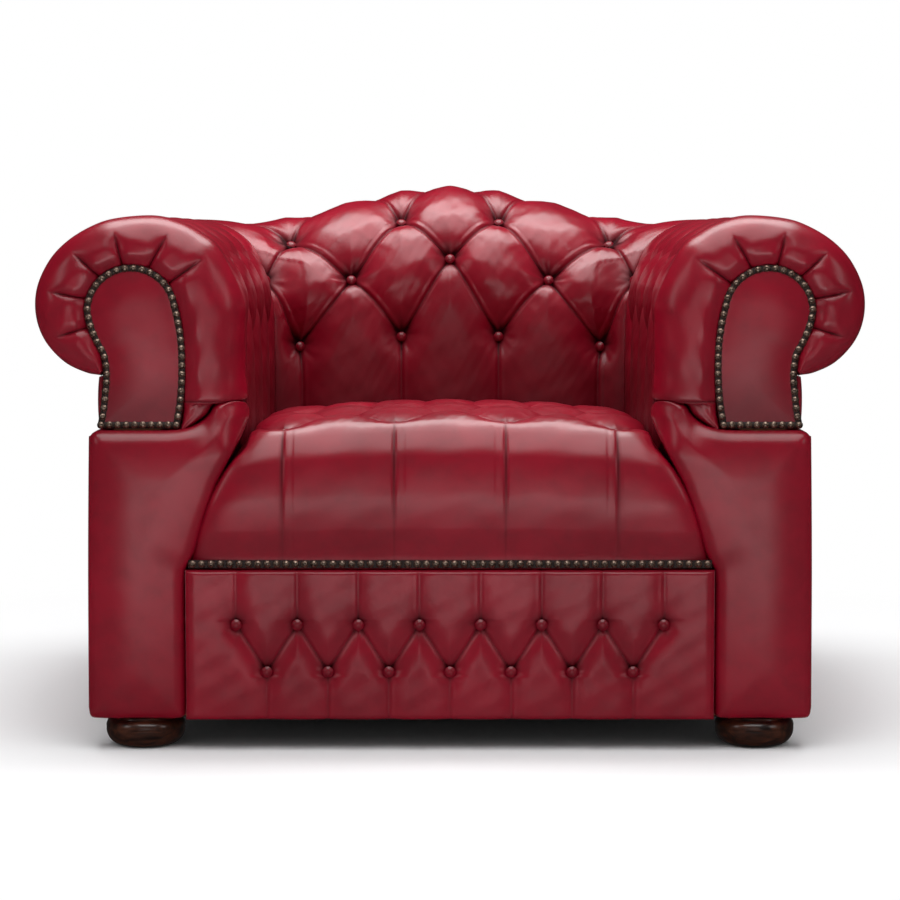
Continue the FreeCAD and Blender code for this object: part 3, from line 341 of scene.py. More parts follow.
def hide_finish(name, dye_and_shade=0.0):
    """Cloudy dye at two sizes over a pebbled grain, darkened and dulled by the painted shade
    that the fold attribute carries.
    """
    finish, tree, shader = new_finish(name)
    place = put(tree, "TexCoord").outputs["Object"]
    clouds = put(tree, "TexNoise", Vector=place, Scale=7.0, Detail=4.0, Roughness=0.6).outputs[0]
    blotches = put(tree, "TexNoise", Vector=place, Scale=38.0, Detail=5.0,
                   Roughness=0.65).outputs[0]
    pebbles = put(tree, "TexVoronoi", {"feature": "SMOOTH_F1"}, Vector=place, Scale=620.0,
                  Smoothness=0.6).outputs["Distance"]
    pores = put(tree, "TexNoise", Vector=place, Scale=1500.0, Detail=2.0).outputs[0]
    # Painted shade, kept point by point in the fold attribute
    painted_shade = put(tree, "Attribute", {"attribute_name": "fold"}).outputs["Fac"]
    rubbed = blend(tree, grade(tree, clouds, 0.38, 0.66), HIDE_MID, HIDE_BRIGHT)
    mottled = blend(tree, grade(tree, blotches, 0.45, 0.80, 0.0, 0.30), rubbed, HIDE_DARK)
    colour = blend(tree, maths(tree, "ADD", painted_shade, dye_and_shade), mottled, HIDE_SHADED)
    tree.links.new(colour, shader.inputs["Base Color"])
    dull = grade(tree, blotches, 0.35, 0.75, *HIDE_DULL)
    dull = maths(tree, "ADD", dull, maths(tree, "MULTIPLY", painted_shade, SHADE_DULL))
    tree.links.new(dull, shader.inputs["Roughness"])
    grain = maths(tree, "ADD", maths(tree, "MULTIPLY", pebbles, 0.7),
                  maths(tree, "MULTIPLY", pores, 0.3))
    bump = put(tree, "Bump", Height=grain, Strength=0.14, Distance=0.0004)
    tree.links.new(bump.outputs["Normal"], shader.inputs["Normal"])
    # The painted shade also dims the shine
    tree.links.new(grade(tree, painted_shade, 0.0, 0.9, HIDE_SHINE, SHADE_SHINE),
                   shader.inputs["Specular IOR Level"])
    return finish


red_leather = hide_finish("red_leather")
button_leather = hide_finish("button_leather", BUTTON_DYE_AND_SHADE)


def keep_painted_shade(piece, shades):
    """Keeps on a piece, point by point, the share of painted shade that the leather reads."""
    fold = piece.data.attributes.new("fold", "FLOAT", "POINT")
    fold.data.foreach_set("value", shades.ravel())


def dress_leather(piece):
    """Covers a piece in the red hide."""
    piece.data.materials.append(red_leather)
    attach(piece, "root")


# Inside back. One stuffed and deep-buttoned cover, from the tuck behind the seat up the face,
# over the crown and round the roll to the neck at the rear. It is closed behind, where the
# stuffing lies on the webbing and the board.

# The section that arms and back share: distances out from the middle of the seat, then heights
# above the floor. For the back, REAR_OFFSET is taken off each distance.
INSIDE_HALF = 270.0
STUFFING_REAR = 345.0
CROWN_REACH = 404.0
NECK_REACH = 457.0
ROLL_REACH = 550.0
REAR_OFFSET = 90.0
TUCK_HEIGHT = 380.0
NECK_HEIGHT = 494.0
STUFFING_FLOOR = 528.5
SHOULDER_HEIGHT = 575.0
ROLL_AXIS = 587.0
ROLL_TOP = 706.0
# How far the cover is turned in at the neck
NECK_TUCK = 10.0
COLUMN_PITCH = 75.0
CROWN_RISE = 54.0
CORNER_ROUND = 34.0
# Turn of the section at each row of buttons, and steps from one row or column to the next
ROW_TURN = ((0, 0.0), (1, 0.651), (2, 1.182), (3, 1.60), (4, 2.45), (5, 3.2), (6, 4.0))
LAST_ROW = 6
BUTTON_ROWS = (1, 2, 3, 4)
FINE = 30
# By turn, the share of the crown's rise and its half width. By column, the distance from the
# middle and how far the columns fan out towards the corner.
CROWN_SHARE = ((0.0, 0.0), (0.651, 0.37), (1.182, 0.70), (1.60, 0.80), (2.0, 1.0), (4.0, 1.0))
CROWN_WIDTH = ((0.0, 280), (0.651, 280), (1.182, 200), (1.60, 285), (2.0, 330), (4.0, 330))
BACK_START = ((0, 0), (1, 75), (2, 150), (3, 225), (4, 270))
BACK_FAN = ((0, 0.0), (1, 0.02), (2, 0.12), (3, 0.35), (3.5, 0.62), (4, 1.0))


def straight(knots, at):
    """Straight-line value between (position, value) knots."""
    positions, values = zip(*knots)
    return np.interp(at, positions, values)


def smooth(knots, at):
    """Cubic value between (position, value) knots. The slope at each is the harmonic mean of
    those beside it, or level at a peak, so that the curve hardly overshoots."""
    positions, values = (np.array(part, float) for part in zip(*knots))
    steps = np.diff(positions)
    slopes = np.diff(values) / steps
    product = slopes[:-1] * slopes[1:]
    both = np.where(product > 0, slopes[:-1] + slopes[1:], 1)
    inner = np.where(product > 0, 2 * product / both, 0)
    tangents = np.concatenate(([slopes[0]], inner, [slopes[-1]]))
    at = np.clip(np.asarray(at, float), positions[0], positions[-1])
    span = np.clip(np.searchsorted(positions, at, side="right") - 1, 0, len(steps) - 1)
    share = (at - positions[span]) / steps[span]
    start = values[span] * (1 + 2 * share) + tangents[span] * steps[span] * share
    end = (values[span + 1] * (3 - 2 * share)
           - tangents[span + 1] * steps[span] * (1 - share))
    return start * (1 - share)**2 + end * share**2


def roll_section(turn):
    """Point (s, z) and outward normal of the section: turn 0 to 1 goes straight up the inside
    face, then a quarter ellipse per turn goes over the shoulder, over the roll and under it."""
    turn = np.asarray(turn, float)
    angle = np.pi * (1 - (turn - 1) / 2)
    under = turn > 3
    inner = turn <= 2
    centre_s = np.where(under, NECK_REACH, CROWN_REACH)
    centre_z = np.where(inner, SHOULDER_HEIGHT, ROLL_AXIS)
    wide = np.where(inner, CROWN_REACH - INSIDE_HALF, ROLL_REACH - centre_s)
    high = np.where(inner, ROLL_TOP - SHOULDER_HEIGHT,
                    np.where(under, ROLL_AXIS - NECK_HEIGHT, ROLL_TOP - ROLL_AXIS))
    face = turn <= 1
    s = np.where(face, INSIDE_HALF, centre_s + wide * np.cos(angle))
    z = np.where(face, TUCK_HEIGHT + (SHOULDER_HEIGHT - TUCK_HEIGHT) * turn,
                 centre_z + high * np.sin(angle))
    across = np.where(face, -1.0, np.cos(angle) / wide)
    up = np.where(face, 0.0, np.sin(angle) / high)
    length = np.hypot(across, up)
    return s, z, across / length, up / length


def length_along(line):
    """Distance travelled along a line of points, at each point."""
    return np.concatenate(([0], np.cumsum(np.hypot(*np.diff(line, axis=0).T))))


section_turns = np.linspace(0, 4, 2001)
section_arc = length_along(np.stack(roll_section(section_turns)[:2], -1))
ROW_ARC = tuple((row, float(np.interp(turn, section_turns, section_arc)))
                for row, turn in ROW_TURN)


def bell(distance, width):
    """1 in the middle, falling to 0 at the width along half a cosine wave."""
    return (1 + np.cos(np.pi * np.clip(np.abs(distance) / width, 0, 1))) / 2


def crown(x, turn):
    """How far the back's section rises at x."""
    return CROWN_RISE * smooth(CROWN_SHARE, turn) * bell(x, smooth(CROWN_WIDTH, turn))


def corner_rounded(s, fan):
    """Draws the outer half of the roll in at the corner: by the square of the fan and of the
    share of the way from crown to outer edge."""
    over = np.clip(s - CROWN_REACH, 0, None) / (ROLL_REACH - CROWN_REACH)
    return s - CORNER_ROUND * fan**2 * over**2


def back_place(column, s, z, turn):
    """A point of the section set up at a column of the back, counted out from the middle."""
    at = np.abs(column)
    fan = smooth(BACK_FAN, at)
    s = corner_rounded(s, fan)
    x = np.sign(column) * (smooth(BACK_START, at) + fan * (s - INSIDE_HALF))
    return np.stack([x, s - REAR_OFFSET, z + crown(x, turn)], axis=-1)


class Folds:
    """The folds and buttons of one tufted cover, laid out flat in millimetres."""

    def __init__(self, buttons, folds):
        self.buttons = buttons
        self.folds = folds

    def measure(self, x, y):
        """At each point: distance to the nearest fold and the side on which the point lies,
        distance and bearing from the nearest button, and the share by which it is above."""
        distance = np.full(x.shape, 1e3)
        side = np.zeros(x.shape)
        for (ax, ay), (bx, by) in self.folds:
            run_x, run_y = bx - ax, by - ay
            length = math.hypot(run_x, run_y)
            share = np.clip(((x - ax) * run_x + (y - ay) * run_y) / length**2, 0, 1)
            away = np.hypot(x - ax - share * run_x, y - ay - share * run_y)
            nearer = away < distance
            distance = np.where(nearer, away, distance)
            turned = (run_x * (y - ay) - run_y * (x - ax)) * (1 if run_x >= 0 else -1)
            side = np.where(nearer, np.sign(turned), side)
        reach = np.full(x.shape, 1e3)
        bearing = np.zeros(x.shape)
        above = np.zeros(x.shape)
        for bx, by in self.buttons:
            away = np.hypot(x - bx, y - by)
            nearer = away < reach
            reach = np.where(nearer, away, reach)
            phase = 1.7 * bx + 0.9 * by
            bearing = np.where(nearer, np.arctan2(y - by, x - bx) + phase, bearing)
            above = np.where(nearer, (y - by) / np.maximum(away, 1e-6), above)
        return distance, side, reach, bearing, above


# Distances from a button over which its creases stay sharp and its gathers stand, and over
# which the painted shade round its pit and in a fan above it reaches
SHARP_REACH = 34.0
GATHER_REACH = 19.0
GATHER_WIDTH = 9.0
GATHER_DEPTH = 0.45
PIT_SHADE_REACH = 14.0
FAN_SHADE_REACH = 25.0
# Beside each fold: where a low roll of leather stands and a second, finer crease lies
ROLL_PLACE = 4.4
ROLL_WIDTH = 3.0
ROLL_RISE = 0.9
SECOND_PLACE = 9.0
SECOND_WIDTH = 1.3
SECOND_DEPTH = 0.55


def ripple(x, y, length):
    """Gentle unevenness between -1 and 1 from three crossing waves of about that length."""
    k = 2 * np.pi / length
    return (np.sin(k * (x + 0.37 * y) + 0.9) * np.sin(k * 0.83 * (y - 0.21 * x) + 2.1)
            + 0.6 * np.sin(k * 1.9 * (0.6 * x - y) + 4.0)) / 1.6


def tuft_inset(folds, x, y, pit, valley=11.0, puff=54.0, crease=3.8, funnel=25.0, line=1.5):
    """How far the cover lies under its fullest height: a rounded valley at each fold, a narrow
    crease in it that is sharpest near the buttons, a finer line beside the crease, a steep pit
    at each button with small gathers round it, and a gentle unevenness all over. Also returns
    the share of painted shade: along each crease, round each pit and in a fan above each
    button, where the leather turns down away from the light."""
    distance, side, reach, bearing, above = folds.measure(x, y)
    near = np.clip(1 - distance / puff, 0, 1)
    close = np.exp(-reach / SHARP_REACH)
    inset = valley * near**2
    inset += (pit - valley) * np.exp(-(reach / (funnel * (1 + 0.25 * above)))**1.7)
    inset += crease * (0.45 + 0.55 * close) * np.exp(-distance / line)
    upper = np.where(side > 0, 1.0, 0.35)
    beside = upper * (1 - np.exp(-(reach / 18.0)**2))
    inset -= ROLL_RISE * beside * np.exp(-((distance - ROLL_PLACE) / ROLL_WIDTH)**2)
    second = SECOND_DEPTH * np.exp(-((distance - SECOND_PLACE) / SECOND_WIDTH)**2)
    inset += second * beside * (0.3 + close)
    lobes = np.sin(7 * bearing) + 0.7 * np.sin(11 * bearing + 1.3)
    inset += GATHER_DEPTH * lobes * np.exp(-((reach - GATHER_REACH) / GATHER_WIDTH)**2)
    inset += 0.7 * ripple(x, y, 83.0) + 0.25 * ripple(y, x, 31.0)
    # Painted shade: along the creases, round each pit and in a fan above each button
    shade = (0.25 + 0.65 * close) * np.exp(-distance / line)
    shade += 0.35 * close * np.exp(-distance / 6.0)
    fan_shade_lobes = 0.72 + 0.28 * np.sin(9 * bearing)
    shade += 0.65 * np.exp(-(reach / PIT_SHADE_REACH)**2)
    fan = np.clip(above, 0, 1)**0.6 * np.exp(-(reach / FAN_SHADE_REACH)**2.4)
    shade += 0.75 * fan_shade_lobes * fan
    return inset, np.clip(shade, 0, 1)


def tufted_folds(columns, at):
    """Buttons where column and row are odd or even together, folds on the diagonals between
    them, and straight folds from the lowest and highest buttons to the edges of the cover.
    at(column, row) gives the place on the flat layout."""
    buttons, folds = [], []
    for row in BUTTON_ROWS:
        for column in columns:
            if (column + row) % 2:
                continue
            buttons.append(at(column, row))
            if row < BUTTON_ROWS[-1]:
                folds += [(at(column, row), at(beside, row + 1))
                          for beside in (column - 1, column + 1)]
            if row == BUTTON_ROWS[0]:
                folds.append((at(column, row), at(column, 0)))
            if row == BUTTON_ROWS[-1]:
                folds.append((at(column, row), at(column, LAST_ROW)))
    return Folds(buttons, folds)


def tuft_faces(column_count, row_count, columns, rows):
    """Triangles of a grid, each square split along the way that folds run through it: one way
    where its whole column and row add up to an even number, the other way where to an odd."""
    index = np.arange(column_count * row_count).reshape(column_count, row_count)
    a, b = index[:-1, :-1], index[1:, :-1]
    c, d = index[1:, 1:], index[:-1, 1:]
    cell = np.floor(columns[:-1, None] + 1e-6) + np.floor(rows[None, :-1] + 1e-6)
    rising = cell % 2 == 0
    first = np.where(rising[..., None], np.stack([a, b, c], -1), np.stack([a, b, d], -1))
    second = np.where(rising[..., None], np.stack([a, c, d], -1), np.stack([b, c, d], -1))
    return np.concatenate([first.reshape(-1, 3), second.reshape(-1, 3)])


def face_outwards(piece):
    """Turns a closed form's faces outwards if its volume comes out negative."""
    mesh = piece.data
    mesh.calc_loop_triangles()
    corners = np.zeros(len(mesh.vertices) * 3)
    mesh.vertices.foreach_get("co", corners)
    triangles = np.zeros(len(mesh.loop_triangles) * 3, int)
    mesh.loop_triangles.foreach_get("vertices", triangles)
    a, b, c = corners.reshape(-1, 3)[triangles.reshape(-1, 3)].transpose(1, 0, 2)
    if np.einsum("ij,ij->", a, np.cross(b, c)) < 0:
        mesh.flip_normals()


def closed_tufts(name, outer, hidden, shade, columns, rows):
    """A tufted grid as one closed form: the plain lines behind it are joined to its last row
    and on to its first, and both sides have a flat end. rows counts the hidden lines too."""
    points = np.concatenate([outer, hidden], axis=1)
    column_count, row_count = points.shape[:2]
    faces = tuft_faces(column_count, row_count, columns, rows).tolist()
    index = np.arange(column_count * row_count).reshape(column_count, row_count)
    faces += np.stack([index[:-1, -1], index[1:, -1], index[1:, 0], index[:-1, 0]], -1).tolist()
    faces += [index[0].tolist(), index[-1][::-1].tolist()]
    cover = make_object(name, points.reshape(-1, 3), faces)
    keep_painted_shade(cover, np.concatenate([shade, np.zeros(hidden.shape[:2])], axis=1))
    face_outwards(cover)
    return cover


def stuffed_cover(name, columns, place, inset, shade, turn_over=1):
    """The tufted section set up at each column, closed along plain lines behind the stuffing
    from the neck back to the tuck. A turn_over of -1 makes it left-handed."""
    turn = straight(ROW_TURN, cover_rows)[None, :]
    s, z, across, up = roll_section(turn)
    outer = place(columns[:, None], s - across * inset, z - up * inset, turn)
    behind = [(NECK_REACH - NECK_TUCK, STUFFING_FLOOR), (STUFFING_REAR, STUFFING_FLOOR),
              (STUFFING_REAR, TUCK_HEIGHT)]
    hidden = [place(columns, np.full_like(columns, s), np.full_like(columns, z), 0.0)
              for s, z in behind]
    flip = turn_over, 1, 1
    return closed_tufts(name, outer * flip, np.stack(hidden, axis=1) * flip, shade, columns,
                        np.append(cover_rows, [LAST_ROW + 1] * len(behind)))


BACK_BUTTON_COLUMNS = range(-4, 5)
BACK_PIT = 26.0
# Painted shade towards the tuck behind the seat, and the rows over which it fades out
TUCK_SHADE = 0.58
TUCK_SHADE_ROWS = 1.7
# Columns over which the tufts are calmer at the corner. By row: how much flatter they lie
# there, how far their shade is left out there, and how they run out towards the neck.
CORNER_CALM = 0.8
CORNER_EASE = 0.5
CORNER_FLAT = ((0, CORNER_EASE), (2.6, CORNER_EASE), (3.4, 0.9), (6, 0.9))
CORNER_CLEAN = ((0, 0.0), (2.6, 0.0), (3.4, 1.0), (6, 1.0))
NECK_FLAT = ((0, 1.0), (5.0, 1.0), (5.8, 0.0), (6, 0.0))
back_columns = np.linspace(-4, 4, 8 * FINE + 1)
cover_rows = np.linspace(0, LAST_ROW, LAST_ROW * FINE + 1)


def back_flat(column, row):
    """Where a column and row of the back lie on its flat leather."""
    return (math.copysign(float(straight(BACK_START, abs(column))), column),
            float(straight(ROW_ARC, row)))


def cover_tufts(columns, at, flat_x, pit, from_corner, tuck_shade, tuck_rows):
    """Inset and painted shade of a back or arm cover: its tufts, with painted shade growing
    towards the tuck, and calmer within part of a column from the corner and towards the neck."""
    flat_x, flat_y = np.meshgrid(flat_x, straight(ROW_ARC, cover_rows), indexing="ij")
    inset, shade = tuft_inset(tufted_folds(columns, at), flat_x, flat_y, pit)
    shade = np.maximum(shade, tuck_shade * np.clip(1 - cover_rows / tuck_rows, 0, 1))
    corner = bell(from_corner, CORNER_CALM)[:, None]
    inset *= 1 - corner * straight(CORNER_FLAT, cover_rows)
    inset *= straight(NECK_FLAT, cover_rows)
    return inset, shade * (1 - corner * straight(CORNER_CLEAN, cover_rows))


back_flat_x = np.sign(back_columns) * straight(BACK_START, np.abs(back_columns))
back_inset, back_shade = cover_tufts(BACK_BUTTON_COLUMNS, back_flat, back_flat_x, BACK_PIT,
                                     4 - np.abs(back_columns), TUCK_SHADE, TUCK_SHADE_ROWS)
back = stuffed_cover("inside_back", back_columns, back_place, back_inset, back_shade)
dress_leather(back)
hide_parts("inside_back_cover", "back_stuffing")
refinish(["back_buttons"], button_leather)


# Inside arms. The same stuffed and buttoned cover on either side, from the diagonal in the
# corner to the front, where it meets the pleated band.

SIDES = (("right", 1), ("left", -1))
ARM_REAR = 180.0
ARM_FRONT = -394.5
ARM_FAN_REACH = 3.5
ARM_LAST_COLUMN = (ARM_REAR - ARM_FRONT) / COLUMN_PITCH
ARM_BUTTON_COLUMNS = range(0, 9)
ARM_PIT = 26.0
# Painted shade towards the tuck of each arm, and the rows over which it fades out
ARM_SHADE = 0.6
ARM_SHADE_ROWS = 2.4
# By column, how the tufts run out towards the band
BAND_FLAT = ((0, 1), (7.15, 1), (ARM_LAST_COLUMN, 0.35))


def arm_place(column, s, z, turn):
    """A point of the section set up at a column of the right arm: along the diagonal in the
    corner, straight across towards the front. There is no crown, so the turn isn't used."""
    fan = np.clip(1 - column / ARM_FAN_REACH, 0, None)**2
    s = corner_rounded(s, fan)
    y = ARM_REAR - COLUMN_PITCH * column + fan * (s - INSIDE_HALF)
    return np.stack([s, y, z], axis=-1)


def arm_flat(column, row):
    """Where a column and row of an arm lie on its flat leather."""
    return column * COLUMN_PITCH, float(straight(ROW_ARC, row))


arm_columns = np.append(np.linspace(0, 7, 7 * FINE + 1),
                        np.linspace(7, ARM_LAST_COLUMN, FINE * 2 // 3 + 1)[1:])
arm_inset, arm_shade = cover_tufts(ARM_BUTTON_COLUMNS, arm_flat, arm_columns * COLUMN_PITCH,
                                   ARM_PIT, arm_columns, ARM_SHADE, ARM_SHADE_ROWS)
arm_inset *= smooth(BAND_FLAT, arm_columns)[:, None]
for side, turn_over in SIDES:
    arm = stuffed_cover(f"inside_arm_{side}", arm_columns, arm_place, arm_inset, arm_shade,
                        turn_over)
    dress_leather(arm)
    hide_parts(f"inside_arm_cover_{side}", f"arm_stuffing_{side}")
    refinish([f"arm_buttons_{side}"], button_leather)


# Corner buttons. Two leather-covered buttons on the diagonals where arm and back covers meet,
# drawn down into the same pits as the others.

BUTTON_RADIUS = 9.5
BUTTON_FOOT_SHARE = 0.94
BUTTON_FOOT = 5.0
BUTTON_RISE = 4.2
BUTTON_LIFT = 0.5
CORNER_BUTTON_ROW = 2


def domed_button(name, foot, normal):
    """A button as a turned form: a short straight foot under a low elliptical dome."""
    normal = np.array(normal) / np.linalg.norm(normal)
    first = np.cross(normal, (0, 0, 1))
    first /= np.linalg.norm(first)
    second = np.cross(normal, first)
    slope = np.linspace(0, np.pi / 2, 8)[:-1]
    radius = BUTTON_RADIUS * np.append(BUTTON_FOOT_SHARE, np.cos(slope))
    height = np.append(0.0, BUTTON_FOOT + BUTTON_RISE * np.sin(slope))
    around = np.linspace(0, 2 * np.pi, 29)[:-1]
    ring = first * np.cos(around)[:, None] + second * np.sin(around)[:, None]
    points = foot + ring * radius[:, None, None] + normal * height[:, None, None]
    top = foot + normal * (BUTTON_FOOT + BUTTON_RISE)
    count = len(around)
    last = (len(radius) - 1) * count
    index = np.arange(len(radius) * count).reshape(-1, count)
    following = np.roll(index, -1, axis=1)
    faces = np.stack([index[:-1], following[:-1], following[1:], index[1:]], -1).reshape(-1, 4)
    caps = [[last + k, last + (k + 1) % count, len(radius) * count] for k in range(count)]
    return make_object(name, np.concatenate([points.reshape(-1, 3), [top]]),
                       faces.tolist() + caps + [index[0][::-1].tolist()])


corner_turn = straight(ROW_TURN, CORNER_BUTTON_ROW)
s, z, across, up = (float(value) for value in roll_section(corner_turn))
under = BACK_PIT * (1 - CORNER_EASE) + BUTTON_LIFT
for side, turn_over in SIDES:
    foot = back_place(4.0 * turn_over, s - across * under, z - up * under, corner_turn)
    button = domed_button(f"corner_button_{side}", foot, (turn_over * across, across, up))
    face_outwards(button)
    button.data.materials.append(button_leather)
    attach(button, "root")


# Front band of each arm. A strip of leather gathered into pleats round the top of the facing
# and drawn over stuffing, from the fold beside the seat up the inside and round the roll.

FACING_CENTRE = 419.0, 579.0
FACING_ROUND = 62.2
BAND_AT_FACING = -431.0
BAND_CREST = -440.5
BAND_BACK = -395.0
BAND_FOOT = 425.5
CREST_SHARE = 0.30
FOLD_HEIGHT = 460.5
FOLD_WIDTH = 1.6
FOLD_DEPTH = 1.8
# Painted shade along the fold
FOLD_SHADE = 0.6
# Stations of the band below which the fold crosses it, and those over which it lies flatter
FOLD_LAST_STATION = 4.5
BAND_FLATTER = ((0, 1.0), (1.6, 1.0), (3.0, 0.0), (20, 0.0))
BAND_ACROSS = 36
BAND_FINE = 20
PLEAT_DEPTH = 3.6
PLEAT_WIDTH = 1.5
PLEAT_VALLEY = 4.2
VALLEY_WIDTH = 16.0
# Painted shade along each pleat
PLEAT_SHADE = 0.8
# By share of the way from facing to roll, how far a pleat has run out
PLEAT_END = ((0, 0.0), (0.42, 0.0), (0.80, 1.0), (1, 1.0))


def round_facing(degrees):
    """A point on the round top of the facing, by its angle from the outer side."""
    angle = math.radians(degrees)
    return (FACING_CENTRE[0] + FACING_ROUND * math.cos(angle),
            FACING_CENTRE[1] + FACING_ROUND * math.sin(angle))


def on_roll(turn):
    """The section's point at a turn."""
    s, z = roll_section(turn)[:2]
    return float(s), float(z)


# Side of the facing, outer side, and whether a pleat lies there
BAND_STATIONS = (
    ((355.0, BAND_FOOT), (346.0, BAND_FOOT), False),
    ((351.6, 441), (322.0, 443), False),
    ((350.0, 455), (309.5, 458), False),
    ((349.2, 464), (271.0, 462), False),
    ((347.9, 505), (270.0, 500), False),
    ((350.5, 555), (270.0, 560), False),
    (round_facing(170), on_roll(1.12), False),
    (round_facing(143), on_roll(1.46), True),
    (round_facing(127), on_roll(1.62), False),
    (round_facing(112), on_roll(1.78), True),
    (round_facing(97), on_roll(1.95), False),
    (round_facing(80), on_roll(2.18), True),
    (round_facing(64), on_roll(2.34), False),
    (round_facing(48), on_roll(2.51), True),
    (round_facing(32), on_roll(2.68), False),
    (round_facing(16), on_roll(2.88), True),
    (round_facing(0), on_roll(3.10), False),
    ((477.2, 558), on_roll(3.34), True),
    ((469.0, 540), on_roll(3.60), False),
    ((460.2, 522), on_roll(3.82), False),
    ((457.0, 502), on_roll(3.97), False),
)


def smooth_line(points, count):
    """A cubic line through the points, each slope half the chord between its neighbours,
    with count steps to each span."""
    points = np.array(points, float)
    padded_line = np.concatenate([2 * points[:1] - points[1:2], points,
                                  2 * points[-1:] - points[-2:-1]])
    share = (np.arange(count) / count)[None, :, None]
    p0, p1, p2, p3 = (padded_line[k:len(points) - 1 + k, None, :] for k in range(4))
    spans = 0.5 * (2 * p1 + (p2 - p0) * share + (2 * p0 - 5 * p1 + 4 * p2 - p3) * share**2
                   + (3 * p1 - p0 - 3 * p2 + p3) * share**3)
    return np.concatenate([spans.reshape(-1, points.shape[1]), points[-1:]])


def band_surface():
    """Points of the right band and their painted shade along the pleats and the fold. Across it
    the leather rises from the facing to a crest in a quarter sine and falls in a rounded quarter
    to the roll. Each pleat is a narrow crease in a wider valley, deepest at the facing and run
    out before the roll."""
    facing = smooth_line([station[0] for station in BAND_STATIONS], BAND_FINE)
    outer = smooth_line([station[1] for station in BAND_STATIONS], BAND_FINE)
    along = (np.arange(len(facing)) / BAND_FINE)[:, None]
    share = np.linspace(0, 1, BAND_ACROSS + 1)
    share = share - 0.06 * np.sin(2 * np.pi * share)
    rising = np.clip(share / CREST_SHARE, 0, 1)
    falling = np.clip((share - CREST_SHARE) / (1 - CREST_SHARE), 0, 1)
    depth = BAND_AT_FACING + (BAND_CREST - BAND_AT_FACING) * np.sin(rising * np.pi / 2)
    fall = (BAND_BACK - BAND_CREST) * (1 - np.sqrt(np.clip(1 - falling**2.3, 0, 1)))
    flatter = smooth(BAND_FLATTER, along)
    depth = depth + fall * (1 - 0.75 * flatter) + 3.0 * flatter
    spacing = np.hypot(*np.gradient(facing * 0.65 + outer * 0.35, axis=0).T)
    travelled = np.concatenate(([0], np.cumsum(spacing[1:])))[:, None]
    pleat_reach = 1 - smooth(PLEAT_END, share)
    inset = 0.6 * ripple(travelled, 90.0 * share, 61.0)
    shade = np.zeros_like(inset)
    for number, (_, _, pleated) in enumerate(BAND_STATIONS):
        if not pleated:
            continue
        away = np.abs(travelled - travelled[number * BAND_FINE])
        inset += pleat_reach * PLEAT_VALLEY * np.clip(1 - away / VALLEY_WIDTH, 0, 1)**2
        inset += pleat_reach * PLEAT_DEPTH * np.exp(-away / PLEAT_WIDTH)
        shade = np.maximum(shade, PLEAT_SHADE * pleat_reach * np.exp(-away / 1.3))
    outward = (share - 0.04 * np.sin(np.pi * share))[None, :, None]
    x, z = np.moveaxis(facing[:, None, :] + (outer - facing)[:, None, :] * outward, -1, 0)
    fold = np.exp(-np.abs(z - FOLD_HEIGHT) / FOLD_WIDTH) * (along < FOLD_LAST_STATION)
    points = np.stack([x, depth + inset + FOLD_DEPTH * fold, z], axis=-1)
    return points, np.maximum(shade, FOLD_SHADE * fold)


def quad_faces(count_a, count_b, wrap_b=False):
    """Squares of a grid of count_a by count_b points, joined round the second way if asked."""
    index = np.arange(count_a * count_b).reshape(count_a, count_b)
    following = np.roll(index, -1, axis=1)
    if not wrap_b:
        index, following = index[:, :-1], following[:, :-1]
    return np.stack([index[:-1], index[1:], following[1:], following[:-1]],
                    -1).reshape(-1, 4).tolist()


def closed_strip(name, surface, behind, shade):
    """A strip closed behind: its grid of points, then the back edges given for it."""
    points = np.concatenate([surface, behind], axis=1)
    count_a, count_b = points.shape[:2]
    index = np.arange(count_a * count_b).reshape(count_a, count_b)
    faces = quad_faces(count_a, count_b, wrap_b=True)
    faces += [index[0][::-1].tolist(), index[-1].tolist()]
    strip = make_object(name, points.reshape(-1, 3), faces)
    keep_painted_shade(strip, np.concatenate([shade, np.zeros(behind.shape[:2])], axis=1))
    face_outwards(strip)
    return strip


band_points, band_shade = band_surface()
band_behind = band_points[:, :1] * (1, 0, 1) + (0, BAND_BACK, 0)
for side, turn_over in SIDES:
    band = closed_strip(f"arm_band_{side}", band_points * (turn_over, 1, 1),
                        band_behind * (turn_over, 1, 1), band_shade)
    dress_leather(band)
    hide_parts(f"arm_front_band_{side}")


# Facing of each arm. A keyhole-shaped board, padded and covered in leather, and nailed over
# the inner edge of the band.

# Arcs of the nail row up the inner side, round the top and down the outer side
NAIL_LINE = (((360.4, 430), (353.9, 475), (352.8, 513)),
             ((352.8, 513), (354.9, 550), (362, 586)),
             ((362, 586), (378.5, 619.5), (419, 636.3)),
             ((419, 636.3), (459.5, 619.5), (476.3, 579)),
             ((476.3, 579), (470.0, 554), (455.5, 525)),
             ((455.5, 525), (451.8, 500), (453.5, 473.5)),
             ((453.5, 473.5), (456.0, 450), (459.9, 430)))
NAIL_LINE_STEP = 3.0
FACING_MARGIN = 4.6
FACING_FRONT = -431.5
FACING_BACK = -421.0
FACING_NET = 3.5
FACING_RIM = 1.6
FACING_DOME = 6.0
FACING_REACH = 46.0
# Where the dome starts inside the edge, and how it is flattened from this height to the foot
DOME_START = 9.0
FLATTER_FROM = 560.0
FLATTER_OVER = 125.0
FLATTER_SHARE = 0.8
# Painted shade by height, darker towards the foot of the facing
FACING_SHADE = ((400, 0.34), (440, 0.34), (525, 0.0), (700, 0.0))
PAD_RIMS = (0.4, 1.2, 2.4, 4.2, 6.6)
PAD_NET_START = 8.0


